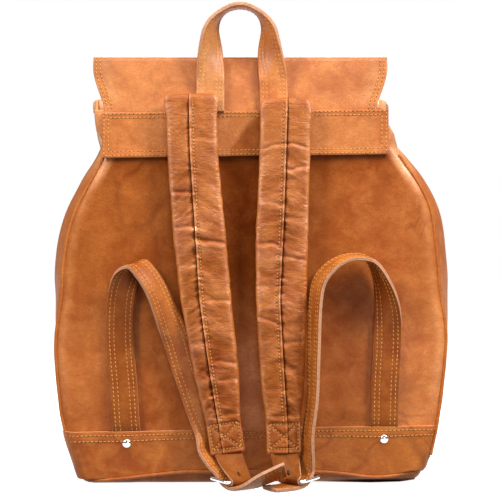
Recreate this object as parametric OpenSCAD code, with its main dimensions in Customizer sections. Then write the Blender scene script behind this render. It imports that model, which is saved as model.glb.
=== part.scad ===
/* [Body] */
// Width of the bag at its fullest
body_w = 352; // [340:1:364]
// Width of the bag at its base
base_w = 304; // [296:1:312]
// Width of the mouth
mouth_w = 266; // [262:1:270]
// Depth of the base
base_d = 140; // [132:1:148]
// Height of the back panel, up to the flap seam
seam_z = 335; // [330:1:338]
// Height of the mouth rim
rim_z = 346; // [344:1:348]
// How far the mouth slumps to one side
lean = -7; // [-9:1:0]
// Thickness of the body leather
wall = 2.8; // [2.4:0.1:3.2]
/* [Bands] */
// Height of the bottom band's top edge
bottom_band_z = 48; // [44:1:52]
// Height of the top band's lower edge
top_band_z = 297; // [292:1:300]
// Width of the top band
top_band_w = 260; // [250:1:262]
// Thickness of the applied bands
band_t = 2.2; // [1.8:0.1:2.4]
/* [Flap] */
// Width of the flap
flap_w = 264; // [256:1:268]
// Height of the ridge where the flap turns over
ridge_z = 384; // [382:1:386]
// Depth of the flap's top
flap_top_d = 112; // [110:1:114]
// Length of the flap's front
flap_front_l = 206; // [190:1:210]
// Thickness of the flap's leather
flap_t = 2; // [1.6:0.1:2.2]
/* [Straps] */
// Width of the handle, the lower straps and the tails
strap_w = 25; // [24:1:27]
// Thickness of a doubled strap
strap_t = 4; // [3.6:0.1:4.4]
// Width of a shoulder pad at its top
pad_w = 48; // [44:1:50]
// Thickness of a shoulder pad
pad_t = 10; // [9:0.5:11]
/* [Pocket] */
// Width of the front pocket
pocket_w = 190; // [170:1:200]
// Height of the front pocket
pocket_h = 118; // [110:1:122]
// Depth of the front pocket
pocket_d = 11; // [9:0.5:11.5]
/* [Hidden] */

LEATHER = "#c4794a";
DARK = "#5a3420";
CLOTH = "#8a6a4c";
CHROME = "silver";

back_y = -base_d / 2;
full_z = 165;
neck_z = 305;
outline_step = 17;
front_bulge = 5;
front_taper = 36;
far = 300;

function half_w(z) =
    z < full_z ? base_w / 2 + (body_w - base_w) / 2 * pow(sin(90 * z / full_z), 0.7)
    : z < neck_z ? mouth_w / 2 + (body_w - mouth_w) / 2 * (1 - pow((z - full_z) / (neck_z - full_z), 2.6))
    : mouth_w / 2;
function centre_x(z) = lean * pow(min(z, seam_z) / seam_z, 2);
function front_y(z) = base_d / 2 + front_bulge * sin(180 * min(z / 240, 1))
    - front_taper * pow(max(z - 90, 0) / 260, 1.6);
function side_x(z, s) = centre_x(z) + s * half_w(z);
heights = [for (z = [0 : outline_step : rim_z - 1]) z, rim_z];

// Front view of the body, as a solid that runs through its whole depth
module outline_prism(inset, y0, y1, z0, z1) {
    levels = concat([z0], [for (z = heights) if (z > z0 + 1 && z < z1 - 1) z], [z1]);
    right = [for (z = levels) [side_x(z, 1) - inset, z]];
    left = [for (i = [len(levels) - 1 : -1 : 0]) [side_x(levels[i], -1) + inset, levels[i]]];
    translate([0, y1, 0])
        rotate([90, 0, 0])
            linear_extrude(y1 - y0)
                polygon(concat(right, left));
}

// Side view of the body between two offsets from its front and back faces, through its whole width
module profile_prism(back_in, front_in, z0, z1, half) {
    levels = concat([z0], [for (z = heights) if (z > z0 + 1 && z < z1 - 1) z], [z1]);
    front = [for (z = levels) [front_y(z) - front_in, z]];
    back = [[back_y + back_in, z1], [back_y + back_in, z0]];
    translate([-half, 0, 0])
        rotate([90, 0, 90])
            linear_extrude(2 * half)
                polygon(concat(front, back));
}

module solid_body(inset, z0, z1) {
    intersection() {
        outline_prism(inset, -far, far, z0, z1);
        profile_prism(inset, inset, z0, z1, far);
    }
}

module back_panel() {
    color(LEATHER)
        outline_prism(0, back_y, back_y + wall, 0, seam_z);
}

// A sheet that follows the front face between two depths below it
module front_sheet(outer, inner, z0, z1, inset) {
    levels = concat([z0], [for (z = heights) if (z > z0 + 1 && z < z1 - 1) z], [z1]);
    face = [for (z = levels) [front_y(z) - outer, z]];
    rear = [for (i = [len(levels) - 1 : -1 : 0]) [front_y(levels[i]) - inner, levels[i]]];
    intersection() {
        outline_prism(inset, -far, far, z0, z1);
        translate([-far, 0, 0])
            rotate([90, 0, 90])
                linear_extrude(2 * far)
                    polygon(concat(face, rear));
    }
}

module front_panel() {
    color(LEATHER)
        front_sheet(0, wall, 0, rim_z, 0);
}

// A strip of the side wall, on the side s, between two offsets
module side_sheet(s, outer, inner, z0, z1) {
    levels = concat([z0], [for (z = heights) if (z > z0 + 1 && z < z1 - 1) z], [z1]);
    out_edge = [for (z = levels) [side_x(z, s) - s * outer, z]];
    in_edge = [for (i = [len(levels) - 1 : -1 : 0]) [side_x(levels[i], s) - s * inner, levels[i]]];
    intersection() {
        translate([0, far, 0])
            rotate([90, 0, 0])
                linear_extrude(2 * far)
                    polygon(concat(out_edge, in_edge));
        profile_prism(wall + 0.1, wall + 0.1, z0, z1, far);
    }
}

module gusset(s) {
    color(LEATHER)
        side_sheet(s, 0, wall, wall + 0.1, rim_z);
}

module base_panel() {
    color(LEATHER)
        solid_body(wall + 0.1, 0, wall);
}

board_t = 2.5;
board_z = wall + 0.2;
module base_board() {
    color(DARK)
        solid_body(wall + 4, board_z, board_z + board_t);
}

lining_in = wall + 0.3;
lining_t = 1;
lining_z = board_z + board_t + 0.2;
module lining() {
    color(CLOTH)
        difference() {
            solid_body(lining_in, lining_z, seam_z - 2);
            solid_body(lining_in + lining_t, lining_z + lining_t, seam_z + 10);
        }
}

bind_t = 1.6;
bind_z = rim_z - 5;
module mouth_binding() {
    color(LEATHER)
        difference() {
            solid_body(-bind_t, bind_z, rim_z + bind_t);
            solid_body(wall + bind_t, bind_z - 1, rim_z + bind_t + 1);
            solid_body(-0.1, bind_z - 2, rim_z + 0.1);
            translate([-far, back_y - 5, bind_z - 3])
                cube([2 * far, 12, 20]);
        }
}

band_foot = 4.4;
module bottom_band_back() {
    color(LEATHER)
        outline_prism(0, back_y - band_t - 0.1, back_y - 0.1, band_foot, bottom_band_z);
}

module bottom_band_front() {
    color(LEATHER)
        front_sheet(-band_t - 0.1, -0.1, band_foot, bottom_band_z - 6, 0);
}

module bottom_band_side(s) {
    color(LEATHER)
        side_sheet(s, -band_t - 0.1, -0.1, band_foot, bottom_band_z - 2);
}

top_band_x = lean + 1;
module top_band() {
    color(LEATHER)
        translate([top_band_x - top_band_w / 2, back_y - band_t - 0.3, top_band_z])
            cube([top_band_w, band_t, seam_z - top_band_z]);
}

// A closed tube of eight sides through a list of points
function unit(v) = v / norm(v);
function tangent(p, i) = unit(p[min(i + 1, len(p) - 1)] - p[max(i - 1, 0)]);
module ribbon(path, side, width, thick) {
    n = len(path);
    cut = min(thick * 0.3, 1);
    rings = [for (i = [0 : n - 1])
        let (t = tangent(path, i), s0 = side[i], s = unit(s0 - t * (s0 * t)), m = cross(s, t))
        let (a = width[i] / 2, b = thick / 2)
        for (q = [[a, b - cut], [a - cut, b], [cut - a, b], [-a, b - cut],
                [-a, cut - b], [cut - a, -b], [a - cut, -b], [a, cut - b]])
            path[i] + s * q[0] + m * q[1]];
    lower = [for (i = [0 : n - 2], k = [0 : 7])
        [i * 8 + k, i * 8 + (k + 1) % 8, (i + 1) * 8 + (k + 1) % 8]];
    upper = [for (i = [0 : n - 2], k = [0 : 7])
        [i * 8 + k, (i + 1) * 8 + (k + 1) % 8, (i + 1) * 8 + k]];
    first = [for (k = [7 : -1 : 0]) k];
    last = [for (k = [0 : 7]) (n - 1) * 8 + k];
    polyhedron(rings, concat([first], lower, upper, [last]));
}

piping_d = 4;
function slope(z, s) = (side_x(z + 3, s) - side_x(z - 3, s)) / 6;
function bead_x(z, s) = side_x(z, s) + s * (piping_d / 2 + 0.35) * norm([1, slope(z, s)]);
module bead(path) {
    n = len(path);
    ribbon(path, [for (i = [0 : n - 1]) [0, 1, 0]], [for (i = [0 : n - 1]) piping_d], piping_d);
}

module piping_back(s) {
    color(LEATHER)
        bead([for (z = [for (h = heights) if (h > 60 && h < top_band_z + 10) h])
            [bead_x(z, s), back_y + wall / 2, z]]);
}

module piping_front(s) {
    color(LEATHER)
        bead([for (z = [for (h = heights) if (h > 60 && h < bind_z - 6) h])
            [bead_x(z, s), front_y(z) - wall / 2, z]]);
}

module piping_base(y) {
    color(LEATHER)
        translate([0, y, piping_d / 2 + 0.2])
            rotate([0, 90, 0])
                cylinder(d = piping_d, h = base_w - 16, center = true, $fn = 24);
}

rivet_d = 9;
module rivet(x, y, z, s) {
    translate([x, y, z])
        rotate([90 * s, 0, 0]) {
            cylinder(d = rivet_d, h = 0.8, $fn = 40);
            intersection() {
                translate([0, 0, -3.2])
                    sphere(r = 5.7, $fn = 48);
                translate([0, 0, 0.8])
                    cylinder(d = rivet_d, h = 4, $fn = 40);
            }
        }
}

rivet_xs = [-112, 119];
rivet_zs = [37, 41];
module strap_rivets() {
    color(CHROME)
        for (i = [0, 1])
            rivet(rivet_xs[i], back_y - band_t - 0.2, rivet_zs[i], 1);
}

// Front pocket: a face standing off the front panel on a gusset round three sides
pocket_z = 46;
pocket_wall = 2;
module pocket_shape(inset, h) {
    r = 22;
    hull() {
        for (s = [-1, 1]) {
            translate([s * (pocket_w / 2 - r), pocket_z + r])
                circle(r - inset, $fn = 32);
            translate([s * (pocket_w / 2 - inset - 1), pocket_z + h - 1])
                square([2, 2], center = true);
        }
    }
}

pocket_back = base_d / 2 + front_bulge + 0.2;
module pocket_layer(y0, depth) {
    translate([0, y0 + depth, 0])
        rotate([90, 0, 0])
            linear_extrude(depth)
                children();
}

module pocket_face() {
    color(LEATHER)
        pocket_layer(pocket_back + pocket_d, pocket_wall)
            pocket_shape(0, pocket_h);
}

module pocket_gusset() {
    color(LEATHER)
        pocket_layer(pocket_back, pocket_d - 0.1)
            difference() {
                pocket_shape(0, pocket_h - 4);
                pocket_shape(pocket_wall, pocket_h + 10);
            }
}

// The flap: a fixed rise at the back, a top that lifts at the ridge and a front that folds
ridge_y = back_y + 12;
rise_foot_y = back_y - 0.2;
rise_angle = atan((ridge_y + 2 - rise_foot_y) / (ridge_z - seam_z));
flap_drop = 10;
front_ridge_y = ridge_y + flap_top_d;
front_ridge_z = ridge_z - flap_drop;
top_angle = -atan(flap_drop / flap_top_d);
top_l = norm([flap_top_d, flap_drop]);
front_angle = 8.9;
flap_x = lean - 2;
flap_cut = 2.4;
lining_gap = 0.1;
flap_lining_t = 1;

module flap_rise() {
    rise_l = (ridge_z - 4 - seam_z) / cos(rise_angle);
    curve = 26;
    color(LEATHER)
        translate([flap_x, back_y, seam_z + 0.8])
            rotate([90 - rise_angle, 0, 0])
                translate([0, 0, -1.6])
                    linear_extrude(3.2)
                        polygon(concat(
                            [for (s = [0 : 0.2 : 1]) [flap_w / 2 - 15 * (1 - sin(90 * s)), curve * s]],
                            [[flap_w / 2, rise_l], [-flap_w / 2, rise_l]],
                            [for (s = [1 : -0.2 : 0]) [15 * (1 - sin(90 * s)) - flap_w / 2, curve * s]]));
}

module top_frame() {
    translate([flap_x, ridge_y, ridge_z])
        rotate([top_angle, 0, 0])
            children();
}

module flap_top() {
    color(LEATHER)
        top_frame() {
            translate([-flap_w / 2, 0, 0])
                cube([flap_w, top_l - flap_cut, flap_t]);
            rotate([0, 90, 0])
                cylinder(r = flap_t, h = flap_w, center = true, $fn = 32);
        }
}

module flap_top_lining() {
    color(CLOTH)
        top_frame()
            translate([3 - flap_w / 2, 4, -lining_gap - flap_lining_t])
                cube([flap_w - 6, top_l - flap_cut - 5, flap_lining_t]);
}

module front_frame() {
    translate([flap_x, front_ridge_y, front_ridge_z])
        rotate([front_angle, 0, 0])
            children();
}

// Outline of the flap's front, rounded at its lower corners
module front_outline(inset, top) {
    r = 34;
    hull() {
        for (s = [-1, 1]) {
            translate([s * (flap_w / 2 - r), r - flap_front_l])
                circle(r - inset, $fn = 48);
            translate([s * (flap_w / 2 - inset - 1), top - 1])
                square([2, 2], center = true);
        }
    }
}

module front_layer(y0, depth) {
    front_frame()
        translate([0, y0 + depth, 0])
            rotate([90, 0, 0])
                linear_extrude(depth)
                    children();
}

module flap_front() {
    color(LEATHER) {
        front_layer(0, flap_t)
            front_outline(0, 0);
        front_frame()
            rotate([0, 90, 0])
                cylinder(r = flap_t, h = flap_w, center = true, $fn = 32);
    }
}

module flap_front_lining() {
    color(CLOTH)
        front_layer(-lining_gap - flap_lining_t, flap_lining_t)
            front_outline(3, -4);
}

// Frame of a buckle: x along its bars, y from the heel bar to the front bar, z outwards
wire = 1.6;
module buckle_frame(w, l) {
    for (y = [0, l])
        translate([0, y, 0])
            rotate([0, 90, 0])
                cylinder(r = wire, h = w, center = true, $fn = 24);
    for (s = [-1, 1]) {
        translate([s * w / 2, 0, 0])
            rotate([-90, 0, 0])
                cylinder(r = wire, h = l, $fn = 24);
        for (y = [0, l])
            translate([s * w / 2, y, 0])
                sphere(r = wire, $fn = 24);
    }
}

prong_r = 1.1;
eye_in = wire + 0.1;
eye_out = 3.1;
prong_angle = 8;
module buckle_prong(l) {
    rotate([0, 90, 0])
        difference() {
            cylinder(r = eye_out, h = 3.4, center = true, $fn = 40);
            cylinder(r = eye_in, h = 8, center = true, $fn = 40);
        }
    rotate([prong_angle - 90, 0, 0])
        translate([0, 0, eye_in + 0.5])
            cylinder(r = prong_r, h = l + 1.5 - eye_in, $fn = 24);
}

// Closures on the flap: strap, chape, buckle, prong and keeper, standing on the flap's front
closure_xs = [-66, 66];
closure_w = 20;
closure_l = 26;
heel_y = flap_t + 4.2;
heel_z = 8 - flap_front_l;
module closure_frame(i) {
    front_frame()
        translate([closure_xs[i], heel_y, heel_z])
            rotate([90, 0, 0])
                mirror([0, 0, 1])
                    children();
}

closure_top = 92;
module closure_strap(i) {
    rise = wire + 3.3;
    color(LEATHER)
        closure_frame(i)
            difference() {
                translate([-closure_w / 2, 0, 0])
                    rotate([90, 0, 90])
                        linear_extrude(closure_w)
                            polygon([[-34, rise - 1.2], [4, rise - 1.2], [closure_l - 3, -wire - 2.4],
                                [closure_top, -wire - 2.4], [closure_top, -wire - 0.4],
                                [closure_l - 2, -wire - 0.4], [4.6, rise + 0.8], [-34, rise + 0.8]]);
                hull()
                    for (y = [2, 15])
                        translate([0, y, -10])
                            cylinder(r = 2.1, h = 20, $fn = 24);
                for (y = [-26, -14])
                    translate([0, y, -10])
                        cylinder(r = 1.6, h = 20, $fn = 24);
            }
}

// Leather folded round the heel bar, slotted for the prong, running down to the snap
chape_l = 44;
module closure_chape(i) {
    color(LEATHER)
        closure_frame(i)
            difference() {
                union() {
                    rotate([0, 90, 0])
                        cylinder(r = wire + 1.7, h = closure_w, center = true, $fn = 40);
                    translate([-closure_w / 2, -chape_l, -wire - 1.7])
                        cube([closure_w, chape_l, 3]);
                }
                rotate([0, 90, 0])
                    cylinder(r = eye_in, h = 30, center = true, $fn = 40);
                translate([-2.4, -5.6, -10])
                    cube([4.8, 20, 20]);
            }
}

module closure_buckle(i) {
    color(CHROME)
        closure_frame(i)
            buckle_frame(closure_w + 7, closure_l);
}

module closure_prong(i) {
    color(CHROME)
        closure_frame(i)
            buckle_prong(closure_l);
}

module closure_keeper(i) {
    t = 1.5;
    inner = 9.7;
    color(LEATHER)
        closure_frame(i)
            translate([0, -22, 1.25])
                difference() {
                    cube([closure_w + 2 * t + 1, 8, inner + 2 * t], center = true);
                    cube([closure_w + 0.8, 20, inner], center = true);
                }
}

module closure_rivets() {
    color(CHROME)
        for (i = [0, 1])
            closure_frame(i)
                for (y = [62, 84])
                    translate([0, y, -wire - 0.4])
                        cylinder(d = 8, h = 1.2, $fn = 40);
}

snap_y = -chape_l + 8;
module snap_studs() {
    color(CHROME)
        for (i = [0, 1])
            closure_frame(i)
                translate([0, snap_y, -wire - 1.8 - 1.4])
                    cylinder(d = 12, h = 1.4, $fn = 40);
}

// Socket plates on the pocket's face, facing the studs
socket_face = pocket_back + pocket_d + pocket_wall;
socket_z = 143;
module snap_sockets() {
    color(CHROME)
        for (x = closure_xs)
            translate([x + flap_x, socket_face + 1.6, socket_z])
                rotate([90, 0, 0])
                    cylinder(d = 14, h = 1.5, $fn = 40);
}

// The handle: two tabs in the seam and a loop that turns its face sideways as it rises
handle_xs = [-37, 20];
handle_y = back_y - 3.9;
handle_pivot = [0, back_y - 1, 357];
handle_top_z = 431;
arc_r = 28.5;
module handle_tabs() {
    color(LEATHER)
        for (x = handle_xs)
            translate([x, handle_y, seam_z + 0.2])
                rotate([-5, 0, 0])
                    translate([-strap_w / 2, -strap_t / 2, 0])
                        cube([strap_w, strap_t, handle_pivot[2] - seam_z - 2.9]);
}

leg_top_z = handle_top_z - arc_r;
leg_steps = 4;
function leg_y(z) = back_y - 1 + 4 * min((z - handle_pivot[2]) / 30, 1);
function handle_turn(s) = 90 * min(max((s - 0.05) / 0.4, 0), 1);
leg_up = [for (k = [0 : leg_steps])
    let (z = handle_pivot[2] + (leg_top_z - handle_pivot[2]) * k / leg_steps) [handle_xs[0], leg_y(z), z]];
bend = [for (a = [165 : -15 : 15]) [(handle_xs[0] + handle_xs[1]) / 2 + arc_r * cos(a), back_y + 3,
    leg_top_z + arc_r * sin(a)]];
leg_down = [for (k = [leg_steps : -1 : 0])
    let (z = handle_pivot[2] + (leg_top_z - handle_pivot[2]) * k / leg_steps) [handle_xs[1], leg_y(z), z]];
handle_path = concat(leg_up, bend, leg_down);
module handle() {
    n = len(handle_path);
    side = [for (i = [0 : n - 1])
        let (s = i / (n - 1), a = s < 0.5 ? handle_turn(s) : 180 - handle_turn(1 - s)) [cos(a), sin(a), 0]];
    color(LEATHER)
        ribbon(handle_path, side, [for (i = [0 : n - 1]) strap_w], strap_t);
}

// Shoulder straps: side view of the pad, cut to its front outline
pad_axis = [0, back_y - 10, 344];
fold_in = 2;
fold_out = 8;
fold_start = 125;
root_xs = [-54, 31];
module shoulder_root(i) {
    color(LEATHER)
        translate([root_xs[i] - pad_w / 2 + 2, back_y - 8.2, seam_z + 0.2])
            cube([pad_w - 4, 2, 9]);
}

function pad_mid_y(z) = back_y - 15 - 4 * pow(max(200 - z, 0) / 150, 1.4);
function pad_half_t(z) = min(pad_t / 2, 3 + 2 * max(344 - z, 0) / 24);
pad_foot_z = 54;
pad_levels = [344, 334, 322, 290, 250, 210, 170, 130, 95, pad_foot_z];
module pad_side_view() {
    fold = [for (a = [fold_start : 10 : 175]) [pad_axis[1] + fold_out * cos(a), pad_axis[2] + fold_out * sin(a)]];
    outer = [for (z = pad_levels) [pad_mid_y(z) - pad_half_t(z), z]];
    inner = [for (k = [len(pad_levels) - 1 : -1 : 0])
        [pad_mid_y(pad_levels[k]) + pad_half_t(pad_levels[k]), pad_levels[k]]];
    fold_back = [for (a = [175 : -10 : fold_start]) [pad_axis[1] + fold_in * cos(a), pad_axis[2] + fold_in * sin(a)]];
    rotate([90, 0, 90])
        linear_extrude(2 * far, center = true)
            polygon(concat(fold, outer, inner, fold_back));
}

pad_centres = [[[353, -54], [290, -52], [220, -46], [166, -40.5], [100, -31], [pad_foot_z, -24.5]],
    [[353, 31], [290, 29.5], [220, 27], [166, 26.5], [100, 27.5], [pad_foot_z, 28.5]]];
pad_halves = [24, 22.5, 23.5, 22.5, 20, 16];
module shoulder_pad(i) {
    c = pad_centres[i];
    right = [for (k = [0 : 5]) [c[k][1] + pad_halves[k], c[k][0]]];
    left = [for (k = [5 : -1 : 0]) [c[k][1] - pad_halves[k], c[k][0]]];
    color(LEATHER)
        intersection() {
            pad_side_view();
            translate([0, far, 0])
                rotate([90, 0, 0])
                    linear_extrude(2 * far)
                        polygon(concat(right, left));
        }
}

end_top_z = pad_foot_z - 0.2;
end_foot_z = 29;
end_y = back_y - 19.5;
function end_x(i, z) = i == 0 ? -24.5 + (pad_foot_z - z) * 0.15 : 28.5 + (pad_foot_z - z) * 0.02;
module pad_end(i) {
    half = 15.5;
    color(LEATHER)
        translate([0, end_y + 3, 0])
            rotate([90, 0, 0])
                linear_extrude(6)
                    polygon([[end_x(i, end_top_z) - half, end_top_z], [end_x(i, end_foot_z) - half, end_foot_z],
                        [end_x(i, end_foot_z) + half, end_foot_z], [end_x(i, end_top_z) + half, end_top_z]]);
}

// Adjuster buckles lie turned on the floor, and a tail folds round each heel bar
heels = [[-10, -110, 8.2], [34, -103.5, 8.2]];
adjuster_turns = [45, -45];
adjuster_tilt = 6;
adjuster_l = 22;
tail_t = 2;
fold_r = wire + tail_t + 0.1;
module adjuster_frame(i) {
    translate(heels[i])
        rotate([0, 0, adjuster_turns[i]])
            rotate([adjuster_tilt, 0, 0])
                rotate([0, 180, 0])
                    children();
}

// Tails: single leather from the pad's end down to the fold round the heel bar
module tail(i) {
    top = [end_x(i, end_foot_z), end_y, end_foot_z - 0.4];
    across = [cos(adjuster_turns[i]), sin(adjuster_turns[i]), 0];
    foot = heels[i] + [0, 0, fold_r - tail_t / 2];
    path = [for (t = [0 : 0.2 : 1]) top + (foot - top) * t];
    side = [for (t = [0 : 0.2 : 1]) [1, 0, 0] * (1 - t) + across * t];
    color(LEATHER)
        difference() {
            union() {
                ribbon(path, side, [for (p = path) strap_w - 1], tail_t);
                adjuster_frame(i)
                    rotate([0, 90, 0])
                        cylinder(r = fold_r, h = strap_w - 2, center = true, $fn = 32);
            }
            adjuster_frame(i) {
                rotate([0, 90, 0])
                    cylinder(r = eye_in, h = 2 * strap_w, center = true, $fn = 32);
                translate([-2.4, -10, -10])
                    cube([4.8, 20, 20]);
            }
        }
}

module adjuster_buckle(i) {
    color(CHROME)
        adjuster_frame(i)
            buckle_frame(strap_w + 6, adjuster_l);
}

module adjuster_prong(i) {
    color(CHROME)
        adjuster_frame(i)
            buckle_prong(adjuster_l);
}

// Lower straps: up the back panel, over and down to the buckle, then a free end beyond it.
// Each station is a point on the strap's middle line and the direction across its width.
lower_left = [
    [[-112, -74.7, 49], [1, 0, 0]], [[-115, -74.7, 90], [1, 0, 0]], [[-118, -74.7, 130], [1, 0, 0]],
    [[-117, -75.2, 165], [1, 0, 0.2]], [[-112, -79, 186], [1, 0.2, 0.3]], [[-103, -86, 197.5], [0.7, 0.7, 0.25]],
    [[-94, -88.5, 190], [0.62, 0.75, 0.3]], [[-84.5, -88, 174.5], [0.64, 0.7, 0.3]],
    [[-75, -85, 151], [0.75, 0.55, 0.2]], [[-66, -79.5, 128], [1, 0.15, 0]], [[-59, -78.4, 105], [1, 0, 0]],
    [[-47.5, -78.6, 72], [1, 0.05, 0]], [[-39, -80.8, 47], [0.9, 0.4, 0]], [[-39, -83.8, 31], [0.6, 0.8, 0]],
    [[-30, -90.3, 19.2], [0.65, 0.75, 0]], [[-24, -96, 14.6], [0.7, 0.7, 0]],
    [[-17, -103, 5], [0.7, 0.7, 0]], [[-9, -111, 2.3], [0.7, 0.7, 0]], [[-1, -116, 5], [0.55, 0.8, -0.1]],
    [[9, -118, 10.5], [0.4, 0.85, -0.3]], [[19, -118, 15], [0.3, 0.83, -0.4]], [[29, -117, 19], [0.27, 0.82, -0.45]]];
lower_right = [
    [[119, -74.7, 49], [1, 0, 0]], [[120, -74.7, 90], [1, 0, 0]], [[122, -74.9, 130], [1, 0, 0]],
    [[121.5, -80, 160], [0.85, -0.45, -0.2]], [[116, -85.5, 184], [0.55, -0.8, -0.2]],
    [[105.5, -88.5, 201.5], [0.36, -0.91, -0.2]], [[91, -90.5, 204.5], [0.29, -0.95, -0.13]],
    [[78, -92.5, 201], [0.25, -0.96, -0.15]], [[67.5, -93.5, 193], [0.33, -0.93, -0.15]],
    [[59.5, -94, 181], [0.38, -0.92, -0.1]], [[56.5, -94, 160], [0.36, -0.93, 0]],
    [[55.5, -93.8, 120], [0.32, -0.95, 0]], [[54.5, -93.7, 80], [0.28, -0.96, 0]],
    [[51, -92.8, 50], [0.3, -0.95, 0]], [[51, -91.2, 34], [0.42, -0.9, 0]], [[51.6, -88.4, 22.5], [0.6, -0.8, 0]],
    [[47.3, -90.4, 15], [0.7, -0.7, 0]], [[41, -96.5, 5], [0.7, -0.7, 0]], [[33, -104.5, 2.3], [0.7, -0.7, 0]],
    [[25, -112, 2.2], [0.7, -0.7, 0]], [[16, -117, 2.2], [0.5, -0.9, 0]]];
lower_t = 3.6;
module lower_strap(i, stations) {
    n = len(stations);
    color(LEATHER)
        difference() {
            ribbon([for (p = stations) p[0]], [for (p = stations) p[1]],
                [for (p = stations) strap_w - 1], lower_t);
            translate(heels[i])
                rotate([0, 0, adjuster_turns[i]])
                    translate([-2.8, 1, -12])
                        cube([5.6, 19, 30]);
        }
}

back_panel();
front_panel();
gusset(-1);  // gusset_left
gusset(1);  // gusset_right
base_panel();
base_board();
lining();
mouth_binding();
bottom_band_back();
bottom_band_front();
bottom_band_side(-1);  // bottom_band_left
bottom_band_side(1);  // bottom_band_right
top_band();
piping_back(-1);  // piping_back_left
piping_back(1);  // piping_back_right
piping_front(-1);  // piping_front_left
piping_front(1);  // piping_front_right
piping_base(back_y - piping_d / 2 - 0.1);  // piping_base_back
piping_base(base_d / 2 + piping_d / 2 + 0.4);  // piping_base_front
strap_rivets();
snap_sockets();
pocket_face();
pocket_gusset();
flap_rise();
flap_top();
flap_top_lining();
flap_front();
flap_front_lining();
closure_strap(0);  // closure_strap_left
closure_strap(1);  // closure_strap_right
closure_chape(0);  // closure_chape_left
closure_chape(1);  // closure_chape_right
closure_buckle(0);  // closure_buckle_left
closure_buckle(1);  // closure_buckle_right
closure_prong(0);  // closure_prong_left
closure_prong(1);  // closure_prong_right
closure_keeper(0);  // closure_keeper_left
closure_keeper(1);  // closure_keeper_right
closure_rivets();
snap_studs();
handle_tabs();
handle();
shoulder_root(0);  // shoulder_root_left
shoulder_root(1);  // shoulder_root_right
shoulder_pad(0);  // shoulder_pad_left
shoulder_pad(1);  // shoulder_pad_right
pad_end(0);  // pad_end_left
pad_end(1);  // pad_end_right
tail(0);  // tail_left
tail(1);  // tail_right
adjuster_buckle(0);  // adjuster_buckle_left
adjuster_buckle(1);  // adjuster_buckle_right
adjuster_prong(0);  // adjuster_prong_left
adjuster_prong(1);  // adjuster_prong_right
lower_strap(0, lower_left);  // lower_strap_left
lower_strap(1, lower_right);  // lower_strap_right
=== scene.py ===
import math

import bmesh
import bpy
import numpy as np
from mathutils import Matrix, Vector


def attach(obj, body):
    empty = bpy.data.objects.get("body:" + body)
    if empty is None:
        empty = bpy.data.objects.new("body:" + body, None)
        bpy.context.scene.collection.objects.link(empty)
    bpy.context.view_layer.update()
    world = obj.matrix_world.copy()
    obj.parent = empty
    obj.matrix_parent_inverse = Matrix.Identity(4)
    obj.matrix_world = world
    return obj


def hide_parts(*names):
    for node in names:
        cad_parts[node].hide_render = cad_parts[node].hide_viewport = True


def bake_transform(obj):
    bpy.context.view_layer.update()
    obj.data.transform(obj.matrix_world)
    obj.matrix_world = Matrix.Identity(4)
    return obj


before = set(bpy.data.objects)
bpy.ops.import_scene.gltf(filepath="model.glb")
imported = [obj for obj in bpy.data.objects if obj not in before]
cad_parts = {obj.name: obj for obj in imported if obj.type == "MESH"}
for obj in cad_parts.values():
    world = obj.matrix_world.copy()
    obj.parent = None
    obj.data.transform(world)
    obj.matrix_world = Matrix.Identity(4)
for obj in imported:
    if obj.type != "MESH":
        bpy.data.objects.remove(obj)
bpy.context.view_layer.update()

MM = 0.001

# ---------------------------------------------------------------- camera, floor and light

camera_data = bpy.data.cameras.new("camera")
camera_data.sensor_width = 36
camera_data.lens = 120
camera = bpy.data.objects.new("camera", camera_data)
camera.location = (-0.00135, -1.57, 0.2106)
camera.rotation_euler = (math.radians(90), 0, 0)
bpy.context.scene.collection.objects.link(camera)
bpy.context.scene.camera = camera
bpy.context.scene.view_settings.view_transform = "Standard"


def area_light(name, place, aim, size, watts, tint=(1, 1, 1)):
    data = bpy.data.lights.new(name, "AREA")
    data.shape = "RECTANGLE"
    data.size, data.size_y = size
    data.energy = watts
    data.color = tint
    lamp = bpy.data.objects.new(name, data)
    lamp.location = place
    lamp.rotation_euler = (Vector(aim) - Vector(place)).to_track_quat("-Z", "Y").to_euler()
    bpy.context.scene.collection.objects.link(lamp)


area_light("softbox_right", (1.0, -0.75, 1.25), (0.0, -0.05, 0.25), (0.45, 0.6), 26)
area_light("softbox_left", (-1.0, -0.85, 1.1), (0.0, -0.05, 0.25), (0.5, 0.7), 17)
area_light("softbox_above", (0.1, -0.5, 1.6), (0.0, -0.05, 0.3), (0.9, 0.5), 11)
area_light("softbox_front", (0.35, -1.8, 0.55), (0, -0.07, 0.15), (0.5, 0.5), 4)
area_light("softbox_behind", (0.1, 1.3, 1.2), (0, 0, 0.25), (1.2, 0.8), 14)

world = bpy.data.worlds.new("studio")
bpy.context.scene.world = world
world.use_nodes = True
background = world.node_tree.nodes["Background"].inputs
background["Color"].default_value = (1, 1, 1, 1)
background["Strength"].default_value = 0.18


def stage_mesh(name, radius, height, colour, glow):
    """The floor as a disc, or with a height the dome behind everything"""
    mesh = bpy.data.meshes.new(name)
    bm = bmesh.new()
    if height:
        bmesh.ops.create_uvsphere(bm, u_segments=48, v_segments=24, radius=radius)
    else:
        bmesh.ops.create_circle(bm, cap_ends=True, segments=96, radius=radius)
    bm.to_mesh(mesh)
    bm.free()
    obj = bpy.data.objects.new(name, mesh)
    bpy.context.scene.collection.objects.link(obj)
    mat = bpy.data.materials.new(name)
    mat.use_nodes = True
    shader = mat.node_tree.nodes["Principled BSDF"]
    shader.inputs["Base Color"].default_value = colour
    shader.inputs["Roughness"].default_value = 0.9
    shader.inputs["Emission Color"].default_value = (1, 1, 1, 1)
    shader.inputs["Emission Strength"].default_value = glow
    mesh.materials.append(mat)
    return obj


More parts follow.
